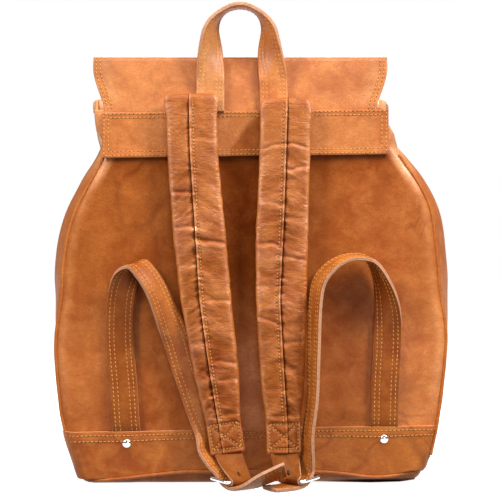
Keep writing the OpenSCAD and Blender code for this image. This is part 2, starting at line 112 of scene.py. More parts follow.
floor = stage_mesh("floor", 9.0, 0, (0.5, 0.5, 0.5, 1), 0.94)
floor.visible_diffuse = False
dome = stage_mesh("backdrop", 30.0, 1, (0, 0, 0, 1), 1.0)
for flag in ("visible_diffuse", "visible_glossy", "visible_transmission", "visible_shadow"):
    setattr(dome, flag, False)

# ---------------------------------------------------------------- materials


def start_material(name):
    """A new material, its node tree, its shader and the place on the object"""
    mat = bpy.data.materials.new(name)
    mat.use_nodes = True
    tree = mat.node_tree
    return mat, tree, tree.nodes["Principled BSDF"], tree.nodes.new("ShaderNodeTexCoord").outputs["Object"]


def feed(tree, socket, value):
    """Links a socket to another node's output, or sets its value"""
    if isinstance(value, bpy.types.NodeSocket):
        tree.links.new(value, socket)
    else:
        socket.default_value = value


def add(tree, kind, settings=(), **inputs):
    """A node with its settings and inputs. An input called i2 is the one numbered 2."""
    node = tree.nodes.new("ShaderNode" + kind)
    for key, value in dict(settings).items():
        setattr(node, key, value)
    for key, value in inputs.items():
        feed(tree, node.inputs[int(key[1:]) if key[1:].isdigit() else key], value)
    return node


def noise_node(tree, vector, scale, detail=3.0, rough=0.5, distortion=0.0):
    return add(tree, "TexNoise", Vector=vector, Scale=scale, Detail=detail, Roughness=rough,
               Distortion=distortion).outputs["Fac"]


def remap(tree, value, low, high, out_low=0.0, out_high=1.0):
    node = add(tree, "MapRange", {"clamp": True}, Value=value, i1=low, i2=high, i3=out_low, i4=out_high)
    return node.outputs[0]


def maths(tree, how, a, b=0.0):
    return add(tree, "Math", {"operation": how}, i0=a, i1=b).outputs[0]


def mix(tree, share, a, b, how="MIX"):
    return add(tree, "Mix", {"data_type": "RGBA", "blend_type": how}, i0=share, i6=a, i7=b).outputs[2]


def stretched(tree, vector, turn, scale):
    return add(tree, "Mapping", Vector=vector, Rotation=turn, Scale=scale).outputs[0]


def tone(colour, k=1.0):
    return (colour[0] * k, colour[1] * k, colour[2] * k, 1)


def dress(tree, shader, bump, depth, height, **inputs):
    """Gives the shader its bump and its other inputs, whose spaces are written as _"""
    inputs["Normal"] = add(tree, "Bump", Strength=bump, Distance=depth, Height=height).outputs[0]
    for key, value in inputs.items():
        feed(tree, shader.inputs[key.replace("_", " ")], value)


TAN = (0.52, 0.142, 0.016)
TAN_LIGHT = (0.70, 0.225, 0.036)
TAN_DARK = (0.300, 0.060, 0.005)


def leather(name, k=1.0, crease=0.0, rough=0.43, veins=0.55, gloss=0.35, tint=(1, 1, 1)):
    """Waxed tan leather: mottling, dark veins, fine grain, fibres and, with crease, fine wrinkles across"""
    mat, tree, shader, place = start_material(name)
    broad = noise_node(tree, place, 11, 4, 0.55, 0.6)
    blotch = noise_node(tree, place, 55, 5, 0.62, 0.4)
    fibres = noise_node(tree, stretched(tree, place, (0.3, 0.7, 0.2), (220, 60, 420)), 1.0, 4, 0.6)
    pores = noise_node(tree, place, 900, 2, 0.5)
    base = mix(tree, remap(tree, broad, 0.34, 0.62), tone(TAN_DARK, 1.3 * k), tone(TAN, k))
    base = mix(tree, remap(tree, blotch, 0.40, 0.70, 0, 0.8), base, tone(TAN_LIGHT, k))
    base = mix(tree, remap(tree, fibres, 0.35, 0.62, 0.26, 0), base, tone(TAN_DARK, k))
    for scale, width, seed in ((9, 0.035, 0.0), (21, 0.04, 3.7)):
        shifted = add(tree, "VectorMath", {"operation": "ADD"}, i0=place, i1=(seed, seed, seed)).outputs[0]
        wander = noise_node(tree, shifted, scale, 2.5, 0.5, 0.8)
        line = maths(tree, "ABSOLUTE", maths(tree, "SUBTRACT", wander, 0.5))
        where = remap(tree, noise_node(tree, shifted, scale * 0.8, 1), 0.5, 0.68)
        strength = maths(tree, "MULTIPLY", remap(tree, line, 0, width, veins, 0), where)
        base = mix(tree, strength, base, tone(TAN_DARK, 0.8 * k))
    base = mix(tree, remap(tree, pores, 0.3, 0.5, 0.35, 0), base, tone(TAN_DARK, 0.8 * k))
    # The shade attribute carries painted light: each point's painted shade and painted highlights multiply the base
    # colour, and the gloss is lowered where the painted shade is deep.
    painted_light = tree.nodes.new("ShaderNodeAttribute")
    painted_light.attribute_name = "shade"
    base = mix(tree, 1.0, base, painted_light.outputs["Color"], "MULTIPLY")
    if tint != (1, 1, 1):
        base = mix(tree, 1.0, base, (*tint, 1), "MULTIPLY")
    painted_shade_gloss = maths(tree, "POWER", add(tree, "SeparateColor", Color=painted_light.outputs["Color"]).outputs[0], 3.0)
    grain = add(tree, "TexVoronoi", Vector=place, Scale=850.0).outputs["Distance"]
    layers = [(grain, 0.35), (blotch, 0.9), (fibres, 0.5)]
    if crease:
        lines = noise_node(tree, stretched(tree, place, (0, 0, 0), (120, 120, 290)), 1.0, 4, 0.6, 1.6)
        folds = noise_node(tree, stretched(tree, place, (0, 0.15, 0), (75, 75, 170)), 1.0, 3, 0.55, 2.0)
        layers += [(lines, 2.2 * crease), (folds, 3.0 * crease)]
    height = 0.0
    for layer, weight in layers:
        height = maths(tree, "ADD", height, maths(tree, "MULTIPLY", layer, weight))
    dress(tree, shader, 0.55, 0.0006, height, Base_Color=base,
          Specular_IOR_Level=maths(tree, "MULTIPLY", painted_shade_gloss, gloss),
          Roughness=remap(tree, blotch, 0.3, 0.7, rough + 0.08, rough - 0.07))
    return mat


def speckled(name, dark, light, scale, rough, stretch=(1, 1, 1), bump=0.3, depth=0.0003):
    """A plain stuff of two tones with a fine grain"""
    mat, tree, shader, place = start_material(name)
    fine = noise_node(tree, stretched(tree, place, (0, 0, 0), stretch), scale, 4, 0.6)
    wide = noise_node(tree, place, scale / 12, 3)
    colour = mix(tree, remap(tree, fine, 0.3, 0.7), (*dark, 1), (*light, 1))
    colour = mix(tree, remap(tree, wide, 0.35, 0.7, 0.3, 0), colour, (*dark, 1))
    dress(tree, shader, bump, depth, fine, Base_Color=colour, Roughness=rough)
    return mat


def woven(name):
    """Plain woven cotton: two crossed waves of threads, with slubs"""
    mat, tree, shader, place = start_material(name)
    warp, weft = (add(tree, "TexWave", {"bands_direction": way}, Vector=place, Scale=420.0, Distortion=0.6)
                  .outputs["Fac"] for way in "XZ")
    weave = maths(tree, "MAXIMUM", warp, weft)
    slub = noise_node(tree, stretched(tree, place, (0, 0, 0), (40, 40, 400)), 1.0, 3)
    colour = mix(tree, weave, (0.13, 0.075, 0.04, 1), (0.36, 0.235, 0.14, 1))
    colour = mix(tree, remap(tree, slub, 0.5, 0.8, 0, 0.5), colour, (0.46, 0.32, 0.2, 1))
    dress(tree, shader, 0.4, 0.0003, weave, Base_Color=colour, Roughness=0.85, Sheen_Weight=0.2)
    return mat


def polished(name):
    """Chromed metal with faint wear and scratches"""
    mat, tree, shader, place = start_material(name)
    wear = noise_node(tree, place, 260, 5, 0.65)
    scratches = noise_node(tree, stretched(tree, place, (0.4, 0.2, 0.9), (900, 90, 900)), 1.0, 3)
    colour = mix(tree, remap(tree, wear, 0.4, 0.75), (0.86, 0.86, 0.88, 1), (0.66, 0.65, 0.64, 1))
    dress(tree, shader, 0.12, 0.0001, scratches, Base_Color=colour, Metallic=1.0,
          Roughness=remap(tree, wear, 0.35, 0.75, 0.07, 0.22))
    return mat


# Copies of one leather whose brightness k and tint are partly the leather's own tone and partly painted light: the
# flap, band and straps are paler and bluer as painted sheen, and the low pieces, loops and pads are darker as painted
# shade.
PANEL = leather("leather_panel", 0.96, veins=0.55, gloss=0.28, tint=(1, 1.01, 1.35))
FLAP = leather("leather_flap", 0.97, veins=0.4, gloss=0.45, tint=(1, 1.13, 1.95))
BAND = leather("leather_band", 1.1, veins=0.35, tint=(1, 1.12, 1.85))
LOW = leather("leather_low", 0.92, veins=0.55, gloss=0.3)
STRAP = leather("leather_strap", 1.08, rough=0.40, veins=0.3, gloss=0.5, tint=(1, 1.16, 1.75))
LOOP = leather("leather_loop", 0.86, rough=0.40, veins=0.45, gloss=0.35)
PAD = leather("leather_pad", 0.86, crease=0.8, rough=0.38, veins=0.2, gloss=0.42)
EDGE = speckled("raw_edge", (0.42, 0.17, 0.075), (0.74, 0.40, 0.23), 700, 0.6, bump=0.4)
THREAD = speckled("thread", (0.52, 0.21, 0.035), (0.82, 0.38, 0.08), 2600, 0.5, (1, 1, 2.5), 0.5, 0.0002)
# Needle holes and the tails' prong slots: dark discs in painted shade, standing for the shade inside each hole.
HOLE = speckled("needle_hole_shade", (0.035, 0.012, 0.005), (0.09, 0.03, 0.012), 1500, 0.8)
CLOTH = woven("lining_cotton")
BOARD = speckled("board_fibre", (0.09, 0.06, 0.04), (0.2, 0.14, 0.1), 500, 0.8, (0.3, 1, 1))
CHROME = polished("chrome")
BEAD = leather("leather_bead", 0.95, rough=0.42, veins=0.2)

# ---------------------------------------------------------------- mesh tools, all in millimetres


def unit(v):
    return v / np.maximum(np.linalg.norm(v, axis=-1, keepdims=True), 1e-9)


def smooth(t):
    t = np.clip(t, 0, 1)
    return t * t * (3 - 2 * t)


def step_between(x, low, high):
    """Rises softly from 0 at low to 1 at high"""
    return smooth((np.asarray(x, float) - low) / (high - low))


def bell(x, centre, width):
    """1 at the centre, falling off softly on both sides"""
    return np.exp(-((x - centre) / width) ** 2)


def darker(share, powers):
    """A tone for each share of the light that is left, with a power for red, green and blue"""
    return np.asarray(share, float).reshape(-1, 1) ** np.array([powers])


def paler(amount, gains):
    """A tone that adds the gains in red, green and blue, times each amount"""
    return 1 + np.asarray(amount, float).reshape(-1, 1) * np.array([gains])


def join(*axes):
    """Joins coordinates, of any shapes that fit each other, into points"""
    return np.stack(np.broadcast_arrays(*(np.asarray(a, float) for a in axes)), -1)


def wobble(p, cell, seed):
    """Smooth noise from -1 to 1 at points p, whose humps are one cell apart"""
    q = np.asarray(p, float) / np.asarray(cell, float) + seed * 13.37
    whole = np.floor(q).astype(np.int64)
    part = smooth(q - whole)
    total = np.zeros(q.shape[:-1])
    for corner in range(2 ** q.shape[-1]):
        bits = [(corner >> k) & 1 for k in range(q.shape[-1])]
        mixed = np.zeros(q.shape[:-1], np.int64)
        weight = np.ones(q.shape[:-1])
        for k, bit in enumerate(bits):
            mixed = mixed * 7919 + (whole[..., k] + bit) * (104729 + 31 * k)
            weight = weight * (part[..., k] if bit else 1 - part[..., k])
        mixed = (mixed ^ (mixed >> 13)) * 1274126177
        mixed = (mixed ^ (mixed >> 16)) & 0xFFFF
        total += weight * (mixed / 32767.5 - 1)
    return total


def ridge(x, z, a, b, width, height):
    """A soft fold from a to b on the x, z plane, fading at its ends"""
    a, b = np.array(a, float), np.array(b, float)
    d = b - a
    length = np.linalg.norm(d)
    d = d / length
    along = (x - a[0]) * d[0] + (z - a[1]) * d[1]
    off = (x - a[0]) * -d[1] + (z - a[1]) * d[0]
    ends = smooth((along / length + 0.25) / 0.4) * smooth((1.25 - along / length) / 0.4)
    return height * bell(off, 0, width) * ends


class Piece:
    """One visible object: points in millimetres, faces, and a material number for each face"""

    def __init__(self, materials):
        self.points, self.faces, self.kinds, self.count = [], [], [], 0
        self.shades = {}
        self.materials = list(materials)

    def put(self, points, faces, kinds):
        """Adds points, and faces that count from the first of them"""
        self.faces.extend([[int(v) + self.count for v in f] for f in faces])
        self.kinds.extend(kinds)
        self.points.append(points.reshape(-1, 3))
        self.count += points.size // 3

    def make(self, name, slot, shade=None):
        """shade gives a tone of painted shade and painted highlights for each point, on top of those noted while the
        piece was made
        """
        mesh = bpy.data.meshes.new(name)
        points = np.concatenate(self.points)
        mesh.from_pydata((points * MM).tolist(), [], self.faces)
        tones = np.ones((len(points), 3))
        for start, part in self.shades.items():
            tones[start:start + len(part)] *= part
        if shade:
            tones *= shade(points)
        colour = mesh.color_attributes.new("shade", "FLOAT_COLOR", "POINT")
        colour.data.foreach_set("color", np.hstack([tones, np.ones((len(points), 1))]).ravel())
        for material in self.materials:
            mesh.materials.append(material)
        mesh.polygons.foreach_set("material_index", np.array(self.kinds, np.int32))
        bm = bmesh.new()
        bm.from_mesh(mesh)
        bmesh.ops.recalc_face_normals(bm, faces=bm.faces)
        bm.to_mesh(mesh)
        bm.free()
        mesh.polygons.foreach_set("use_smooth", np.ones(len(mesh.polygons), bool))
        obj = bpy.data.objects.new(name, mesh)
        bpy.context.scene.collection.objects.link(obj)
        return obj

    def fix(self, name, slot, body, nodes, shade=None):
        """Makes the object, rides it on one body and has it stand for the CAD's nodes"""
        obj = self.make(name, slot, shade)
        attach(obj, body)
        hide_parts(*nodes)
        return obj


def sewn(leather_kind):
    """A piece of stitched leather"""
    return Piece([leather_kind, EDGE, THREAD, HOLE])


def quads_between(rows):
    """The faces between each ring of point numbers and the next"""
    a, b = rows[:-1], rows[1:]
    return join(a, np.roll(a, -1, 1), np.roll(b, -1, 1), b)


def loft(piece, rings, kind=0, closed=False, shade=None):
    """Skins a list of closed rings, with a flat cap at each end unless the tube is closed on itself"""
    rings = np.asarray(rings, float)
    if shade is not None:
        piece.shades[piece.count] = darker(shade, (1.0, 1.35, 1.8))
    n, k = rings.shape[:2]
    index = np.arange(n * k).reshape(n, k)
    faces = quads_between(np.vstack([index, index[:1]]) if closed else index).reshape(-1, 4).tolist()
    if not closed:
        faces += [index[0][::-1].tolist(), index[-1].tolist()]
    piece.put(rings, faces, [kind] * len(faces))


def slab(piece, mid, normal, half_t, edge=0.8, groove=0.3, face=0, rim=1, back=None, ends=(True, True)):
    """A sheet with thickness on a grid of middle points, with a rounded, grooved rim"""
    n, m = mid.shape[:2]
    half_t = np.broadcast_to(np.asarray(half_t, float), (n, m))
    for rounded_off in ends:
        if rounded_off:
            way = unit(mid[0] - mid[1]) * edge
            mid = np.concatenate([[mid[0] + way, mid[0] + way * 0.75], mid])
            normal = np.concatenate([normal[:1], normal[:1], normal])
            half_t = np.concatenate([[half_t[0] * 0.45, half_t[0] * 0.85], half_t])
        mid, normal, half_t = mid[::-1], normal[::-1], half_t[::-1]
    left, right = unit(mid[:, 0] - mid[:, 1]), unit(mid[:, -1] - mid[:, -2])

    def rim_points(base, out, up, h):
        return [base + out * (edge - groove),
                base + out * edge + up * (h * 0.38)[:, None],
                base + out * edge * 0.72 + up * (h * 0.84)[:, None]]

    layers = []
    for sign in (1, -1):
        a = rim_points(mid[:, 0], left, normal[:, 0] * sign, half_t[:, 0])
        b = rim_points(mid[:, -1], right, normal[:, -1] * sign, half_t[:, -1])
        skin = mid + normal * sign * half_t[..., None]
        layers.append((a, [skin[:, j] for j in range(m)], b))
    over, under = layers
    ring = over[0] + over[1] + [over[2][2], over[2][1], over[2][0]]
    ring += [under[2][1], under[2][2]] + under[1][::-1] + [under[0][2], under[0][1]]
    rings = np.stack(ring, 1)
    k = rings.shape[1]
    kinds = np.full(k, face)
    if back is not None:
        kinds[m + 5:2 * m + 6] = back
    kinds[[0, 1, k - 1, k - 2]] = rim
    kinds[[m + 3, m + 4, m + 5, m + 6]] = rim
    index = np.arange(rings.shape[0] * k).reshape(-1, k)
    marks = np.tile(kinds, (len(index) - 1, 1))
    if ends[0]:
        marks[:2] = rim
    if ends[1]:
        marks[-2:] = rim
    caps = []
    for row in (index[0], index[-1]):
        caps += [[row[j], row[j + 1], row[k - j - 1], row[(k - j) % k]] for j in range(1, k // 2 - 1)]
        caps += [[row[0], row[1], row[k - 1]], [row[k // 2], row[k // 2 - 1], row[k // 2 + 1]]]
    faces = quads_between(index).reshape(-1, 4).tolist() + caps
    piece.put(rings, faces, marks.reshape(-1).tolist() + [rim] * len(caps))


def grid_normals(mid, toward):
    """The normals of a grid of points, on the side that toward is on"""
    n = unit(np.cross(np.gradient(mid, axis=1), np.gradient(mid, axis=0)))
    sign = np.sign((n * np.asarray(toward, float)).sum(-1, keepdims=True))
    sign[sign == 0] = 1
    return n * sign


def resample(points, step=None, count=None, closed=False):
    """Points at even steps along a polyline, and how far along it each one is"""
    points = np.asarray(points, float)
    if closed:
        points = np.vstack([points, points[:1]])
    gone = np.concatenate([[0], np.cumsum(np.linalg.norm(np.diff(points[:, :3], axis=0), axis=1))])
    count = count or max(2, int(round(gone[-1] / step)) + 1)
    s = np.linspace(0, gone[-1], count)
    out = np.stack([np.interp(s, gone, points[:, k]) for k in range(points.shape[1])], 1)
    return out, s


def rounded(points, per=10):
    """A smooth line through all the points (Catmull-Rom)"""
    p = np.asarray(points, float)
    p = np.vstack([2 * p[0] - p[1], p, 2 * p[-1] - p[-2]])
    out = []
    for i in range(1, len(p) - 2):
        t = np.linspace(0, 1, per, endpoint=False)[:, None]
        a, b, c, d = p[i - 1], p[i], p[i + 1], p[i + 2]
        out.append(0.5 * (2 * b + (c - a) * t + (2 * a - 5 * b + 4 * c - d) * t ** 2
                          + (3 * b - a - 3 * c + d) * t ** 3))
    return np.vstack(out + [p[-2][None]])


def on_line(line, s, at):
    """Points of a line with normals at the distances given, and the ways along it, across it and out"""
    where = np.stack([np.interp(at, s, line[:, k]) for k in range(6)], 1)
    ahead, behind = (np.stack([np.interp(at + d, s, line[:, k]) for k in range(3)], 1) for d in (0.8, -0.8))
    along, up = unit(ahead - behind), unit(where[:, 3:])
    return where[:, :3], along, unit(np.cross(up, along)), up


def copies(piece, shape, where, along, across, up, faces, kind):
    """Puts one small shape at every point, turned to its own ways along, across and up"""
    shape = shape[None]
    made = (where[:, None] + shape[..., :1] * along[:, None] + shape[..., 1:2] * across[:, None]
            + shape[..., 2:] * up[:, None])
    k = made.shape[1]
    piece.put(made, [[v + i * k for v in f] for i in range(len(made)) for f in faces],
              [kind] * (len(faces) * len(made)))


HEXAGON = [(math.cos(math.pi * k / 3), math.sin(math.pi * k / 3)) for k in range(6)]
# place along a stitch, radius and height of its rings, for a stitch of length 1
STITCH_RINGS = ((-0.5, 0.16, -0.35), (-0.36, 0.38, 0.05), (0, 0.46, 0.22), (0.36, 0.38, 0.05),
                (0.5, 0.16, -0.35))
STITCH_FACES = [[r * 6 + k, r * 6 + (k + 1) % 6, (r + 1) * 6 + (k + 1) % 6, (r + 1) * 6 + k]
                for r in range(len(STITCH_RINGS) - 1) for k in range(6)]
STITCH_FACES += [[5, 4, 3, 2, 1, 0], [(len(STITCH_RINGS) - 1) * 6 + k for k in range(6)]]
STITCH_TURN = 0.13
# a needle hole: a shallow disc, drawn dark as painted shade, its points round it, its middle above and its foot below
HOLE_SHAPE = [(0.52 * c, 0.42 * d, 0.0) for c, d in HEXAGON] + [(0, 0, 0.09), (0, 0, -0.3)]
HOLE_FACES = [[k, (k + 1) % 6, 6] for k in range(6)] + [[(k + 1) % 6, k, 7] for k in range(6)]


def stitches(piece, points, normals, pitch=3.8, length=2.95, thick=1.0):
    """A row of raised thread stitches along a line on a surface, with a needle hole between each two, a dark disc of
    painted shade
    """
    points = np.asarray(points, float)
    normals = np.broadcast_to(np.asarray(normals, float), points.shape)
    line, s = resample(np.hstack([points, normals]), step=0.4)
    edges = np.linspace(0, s[-1], max(1, int(round(s[-1] / pitch))) + 1)
    where, along, across, up = on_line(line, s, (edges[:-1] + edges[1:]) / 2)
    up = np.cross(along, across)
    c, d = math.cos(STITCH_TURN), math.sin(STITCH_TURN)
    along, across = along * c + across * d, across * c - along * d
    shape = np.array([(x * length, r * thick * a, h * thick + r * thick * b)
                      for x, r, h in STITCH_RINGS for a, b in HEXAGON])
    copies(piece, shape, where, along, across, up, STITCH_FACES, 2)
    copies(piece, np.array(HOLE_SHAPE) * thick, *on_line(line, s, edges), HOLE_FACES, 3)


class Strip:
    """A band that follows a line: a is across it, s along it and h out of its face"""

    def __init__(self, points, sides, step=1.5, curved=True):
        points = np.asarray(points, float)
        both = np.hstack([points, np.broadcast_to(np.asarray(sides, float), points.shape)])
        if curved:
            both = rounded(both)
        line, self.s = resample(both, step=step)
        self.p = line[:, :3]
        t = unit(np.gradient(self.p, axis=0))
        side = line[:, 3:]
        self.side = unit(side - t * (side * t).sum(1, keepdims=True))
        self.n = np.cross(self.side, t)
        self.t = t
        self.length = self.s[-1]

    def take(self, what, s):
        """One of the line's vectors at distances s along it"""
        return np.stack([np.interp(s, self.s, what[:, k]) for k in range(3)], -1)

    def at(self, a, s, h=0.0):
        a, s, h = np.broadcast_arrays(np.asarray(a, float), np.asarray(s, float), np.asarray(h, float))
        across, out = self.take(self.side, s), self.take(self.n, s)
        return self.take(self.p, s) + across * a[..., None] + out * h[..., None]

    def up(self, s):
        return unit(self.take(self.n, np.asarray(s, float)))


def columns(rows, dip):
    """How far in from a band's edge its lines lie, and how much each dips beside the rows of stitches"""
    inside = {0.0: 0.12, 0.9: 0.0}
    for d in rows:
        inside[d - 0.9] = max(inside.get(d - 0.9, 0), dip * 0.15)
        inside[d] = dip
        inside[d + 0.9] = dip * 0.15
    ds = sorted(inside)
    return np.array(ds), [inside[d] for d in ds]


def strap(piece, strip, half, thick, rows=(2.6, 6.6), middle=5, dip=0.28, crown=0.35, relief=None, step=2.0,
          stitched=(1, -1), edge=0.8, groove=0.35, cross=(), taper=None):
    """A leather band along a Strip, with rows of stitches. half is a number or a function of s."""
    relief = relief or (lambda a, s: 0.0)
    taper = taper or (lambda s: 1.0)

    def half_at(s):
        return (half(s) if callable(half) else np.full(len(s), float(half))) - edge

    s = np.linspace(0.0, strip.length, max(3, int(strip.length / step) + 1))
    hw = half_at(s)
    ds, dips = columns(rows, dip)
    left = ds[None, :] - hw[:, None]
    centre = (hw - ds[-1])[:, None] * np.linspace(-1, 1, middle + 2)[None, 1:-1]
    a = np.hstack([left, centre, -left[:, ::-1]])
    low = np.concatenate([dips, np.zeros(middle), dips[::-1]])
    t = (np.full(len(s), thick / 2.0) * taper(s))[:, None]
    ht = t + crown * (1 - (a / np.maximum(hw[:, None], 1e-6)) ** 2) - low[None, :] * (t / (thick / 2))
    ss = s[:, None] + 0 * a
    mid = strip.at(a, ss, relief(a, ss))
    slab(piece, mid, grid_normals(mid, strip.up(ss)), ht, edge=edge, groove=groove)
    for sign in stitched:
        for d in rows:
            for flank in (-1, 1):
                ss = np.linspace(3.0, strip.length - 3.0, max(3, int(strip.length / 1.5)))
                aa = flank * (half_at(ss) - d)
                lift = relief(aa, ss) + sign * ((thick / 2 - dip) * taper(ss) + crown * 0.3)
                stitches(piece, strip.at(aa, ss, lift), strip.up(ss) * sign)
        for place in cross:
            at = np.full(30, place)
            reach = float(half_at(at[:1])[0]) - 1.5
            aa = np.linspace(-reach, reach, 30)
            lift = relief(aa, at) + sign * (thick / 2 + crown * 0.6)
            stitches(piece, strip.at(aa, at, lift), strip.up(at) * sign)


def tube(piece, points, radius, sides=12, kind=0, closed=False):
    """A round bar along a line"""
    points = np.asarray(points, float)
    n = len(points)
    t = unit(np.roll(points, -1, 0) - np.roll(points, 1, 0) if closed else np.gradient(points, axis=0))
    radius = np.broadcast_to(np.asarray(radius, float), (n,))
    ref = np.array([0.0, 0.0, 1.0]) if abs(t[0, 2]) < 0.9 else np.array([0.0, 1.0, 0.0])
    u = unit(ref - t[0] * (ref @ t[0]))
    angles = np.linspace(0, 2 * math.pi, sides, endpoint=False)[:, None]
    rings = []
    for i in range(n):
        u = unit(u - t[i] * (u @ t[i]))
        v = np.cross(t[i], u)
        rings.append(points[i] + radius[i] * (np.cos(angles) * u + np.sin(angles) * v))
    loft(piece, rings, kind, closed=closed)


def lathe(piece, profile, origin, axis, sides=40, kind=0):
    """A turned shape: profile is (radius, height) pairs from its foot to its top"""
    axis = unit(np.asarray(axis, float))
    ref = np.array([0.0, 0.0, 1.0]) if abs(axis[2]) < 0.9 else np.array([1.0, 0.0, 0.0])
    u = unit(np.cross(ref, axis))
    v = np.cross(axis, u)
    angles = np.linspace(0, 2 * math.pi, sides, endpoint=False)
    circle = np.cos(angles)[:, None] * u + np.sin(angles)[:, None] * v
    loft(piece, [np.asarray(origin) + r * circle + h * axis for r, h in profile], kind)


# ---------------------------------------------------------------- the body's shape, as in the CAD

BACK_Y = -70.0
FRAME_X = -7.0
LEAN = -7.0
SEAM_Z, RIM_Z = 335.0, 346.0
SIDES = (("left", -1), ("right", 1))


def half_w(z):
    z = np.asarray(z, float)
    low = 152 + 24 * np.sin(np.radians(90 * np.clip(z, 0, 165) / 165)) ** 0.7
    high = 133 + 43 * (1 - (np.clip(z - 165, 0, 140) / 140) ** 2.6)
    return np.where(z < 165, low, high)


def centre_x(z):
    return LEAN * (np.minimum(z, SEAM_Z) / SEAM_Z) ** 2


def front_y(z):
    z = np.asarray(z, float)
    return 70 + 5 * np.sin(np.pi * np.minimum(z / 240, 1)) - 36 * (np.maximum(z - 90, 0) / 260) ** 1.6


def table_of(pairs, z):
    """Reads a soft curve off a short table of places and values"""
    pairs = sorted(pairs)
    zs = np.array([p[0] for p in pairs], float)
    vs = np.array([p[1] for p in pairs], float)
    z = np.asarray(z, float)
    dense = np.linspace(zs[0], zs[-1], 200)
    soft = np.interp(dense, zs, vs)
    for _ in range(30):
        soft[1:-1] = (soft[:-2] + 2 * soft[1:-1] + soft[2:]) / 4
    return np.interp(z, dense, soft)


# height and how far the slouched side stands to the right of the even outline
SLOUCH = {-1: ((0, 0), (24, 0), (41, -2), (60, -2.8), (88, -1.9), (125, -0.9), (150, 0.4), (165, 2.6), (190, 2.5),
               (210, 3.8), (232, 4.7), (250, 6.0), (264, 8.8), (290, 9.8), (298, 9.0), (304, 5.2), (309, 2.6),
               (318, 1.0), (346, 0.8)),
          1: ((0, 0), (116, 0.9), (135, 2.6), (150, 2), (170, 0), (210, 0), (229, 2), (248, 4.9), (262, 5.2),
              (280, 3.8), (298, 2.5), (309, 2.6), (318, 0.6), (346, -1.5))}


def side_x(z, s):
    return centre_x(z) + s * half_w(z) + table_of(SLOUCH[s], z)


def seam_inset(z):
    """How far the back panel's seam lies inside the bag's widest outline"""
    return 5.0 * step_between(z, 110, 185) * (1 - step_between(z, 285, 325))


def mouth_flare(z, s):
    """How far the back corner stands out at the mouth: the left one spreads, the right one is tucked in"""
    return (2.0 if s < 0 else -6.5) * step_between(z, 306 if s < 0 else 312, 334)


def side_bulge(z):
    """How far the gusset stands out beyond its seams"""
    z = np.asarray(z, float)
    out = 2 + 5 * step_between(z, 50, 130) + 6.0 * step_between(z, 125, 190)
    return out - 10.5 * step_between(z, 275, 335)


def arch(x, y):
    """Height of the base seam above its lowest place, on the back"""
    x = np.asarray(x, float)
    rise = 8.5 * step_between(x, -150, -45) - 5.0 * bell(x, 112, 30) + step_between(x, 125, 155)
    return rise * (1 - step_between(y, -66, -10))


def foot_lift(x, y):
    """How far the bag's heel stands off the floor, at the back's right end"""
    return 3.2 * step_between(x, -60, 150) * (1 - step_between(y, -72, 10))


def panel_relief(x, z):
    """Soft dents and folds of the back panel, outward"""
    p = join(x, z)
    u = np.clip((x - centre_x(z)) / half_w(z), -1, 1)
    h = 1.5 * (1 - np.abs(u) ** 3) * step_between(z, 40, 120) * (1 - step_between(z, 240, 300))
    soft = step_between(z, 44, 80) * (1 - step_between(z, 270, 300))
    dents = 0.75 * wobble(p, (62, 85), 1) + 0.35 * wobble(p, (27, 36), 2) + 0.12 * wobble(p, (11, 15), 3)
    h = h + soft * dents
    for a, b, w, k in (((-128, 285), (-96, 232), 9, 0.9), ((118, 286), (84, 226), 9, 0.9),
                       ((-112, 290), (-60, 262), 7, 0.5), ((60, 68), (112, 62), 6, 0.8),
                       ((-150, 120), (-120, 64), 10, 0.7), ((146, 118), (120, 70), 10, 0.7),
                       ((-20, 282), (18, 236), 8, -0.6), ((-150, 205), (-132, 140), 8, -0.6)):
        h = h + ridge(x, z, a, b, w, k)
    return h


def panel_grid(x_left, x_right, z, n):
    u = np.linspace(-1, 1, n)
    u = np.sign(u) * (1 - (1 - np.abs(u)) ** 1.25)
    x = (x_left + x_right)[:, None] / 2 + u[None, :] * (x_right - x_left)[:, None] / 2
    return x, np.broadcast_to(z[:, None], x.shape)


def panel(piece, x, y, z, toward):
    """One sheet of the body's leather, 2.4 mm thick, on a grid of points"""
    mid = join(x, y, z)
    slab(piece, mid, grid_normals(mid, toward), 1.2, groove=0.0, rim=0)


def edge_roll(x, x_left, x_right, reach, depth):
    """How far a panel's edge turns in toward its seam"""
    d = np.minimum(x - x_left[:, None], x_right[:, None] - x)
    return depth * np.clip(1 - d / reach, 0, 1) ** 2.2


# Back panel
piece = sewn(PANEL)
z = np.linspace(24, SEAM_Z + 1, 118)
x_left = side_x(z, -1) + seam_inset(z) + 0.6 - mouth_flare(z, -1)
x_right = side_x(z, 1) - seam_inset(z) - 0.6 + np.minimum(mouth_flare(z, 1), 0)
x, zz = panel_grid(x_left, x_right, z, 130)
y = BACK_Y + 1.2 - panel_relief(x, zz)
y = y + edge_roll(x, x_left, x_right, 7, 3.2) * (1 - 0.8 * step_between(zz, 298, 312))
panel(piece, x, y, zz, (0, -1, 0))


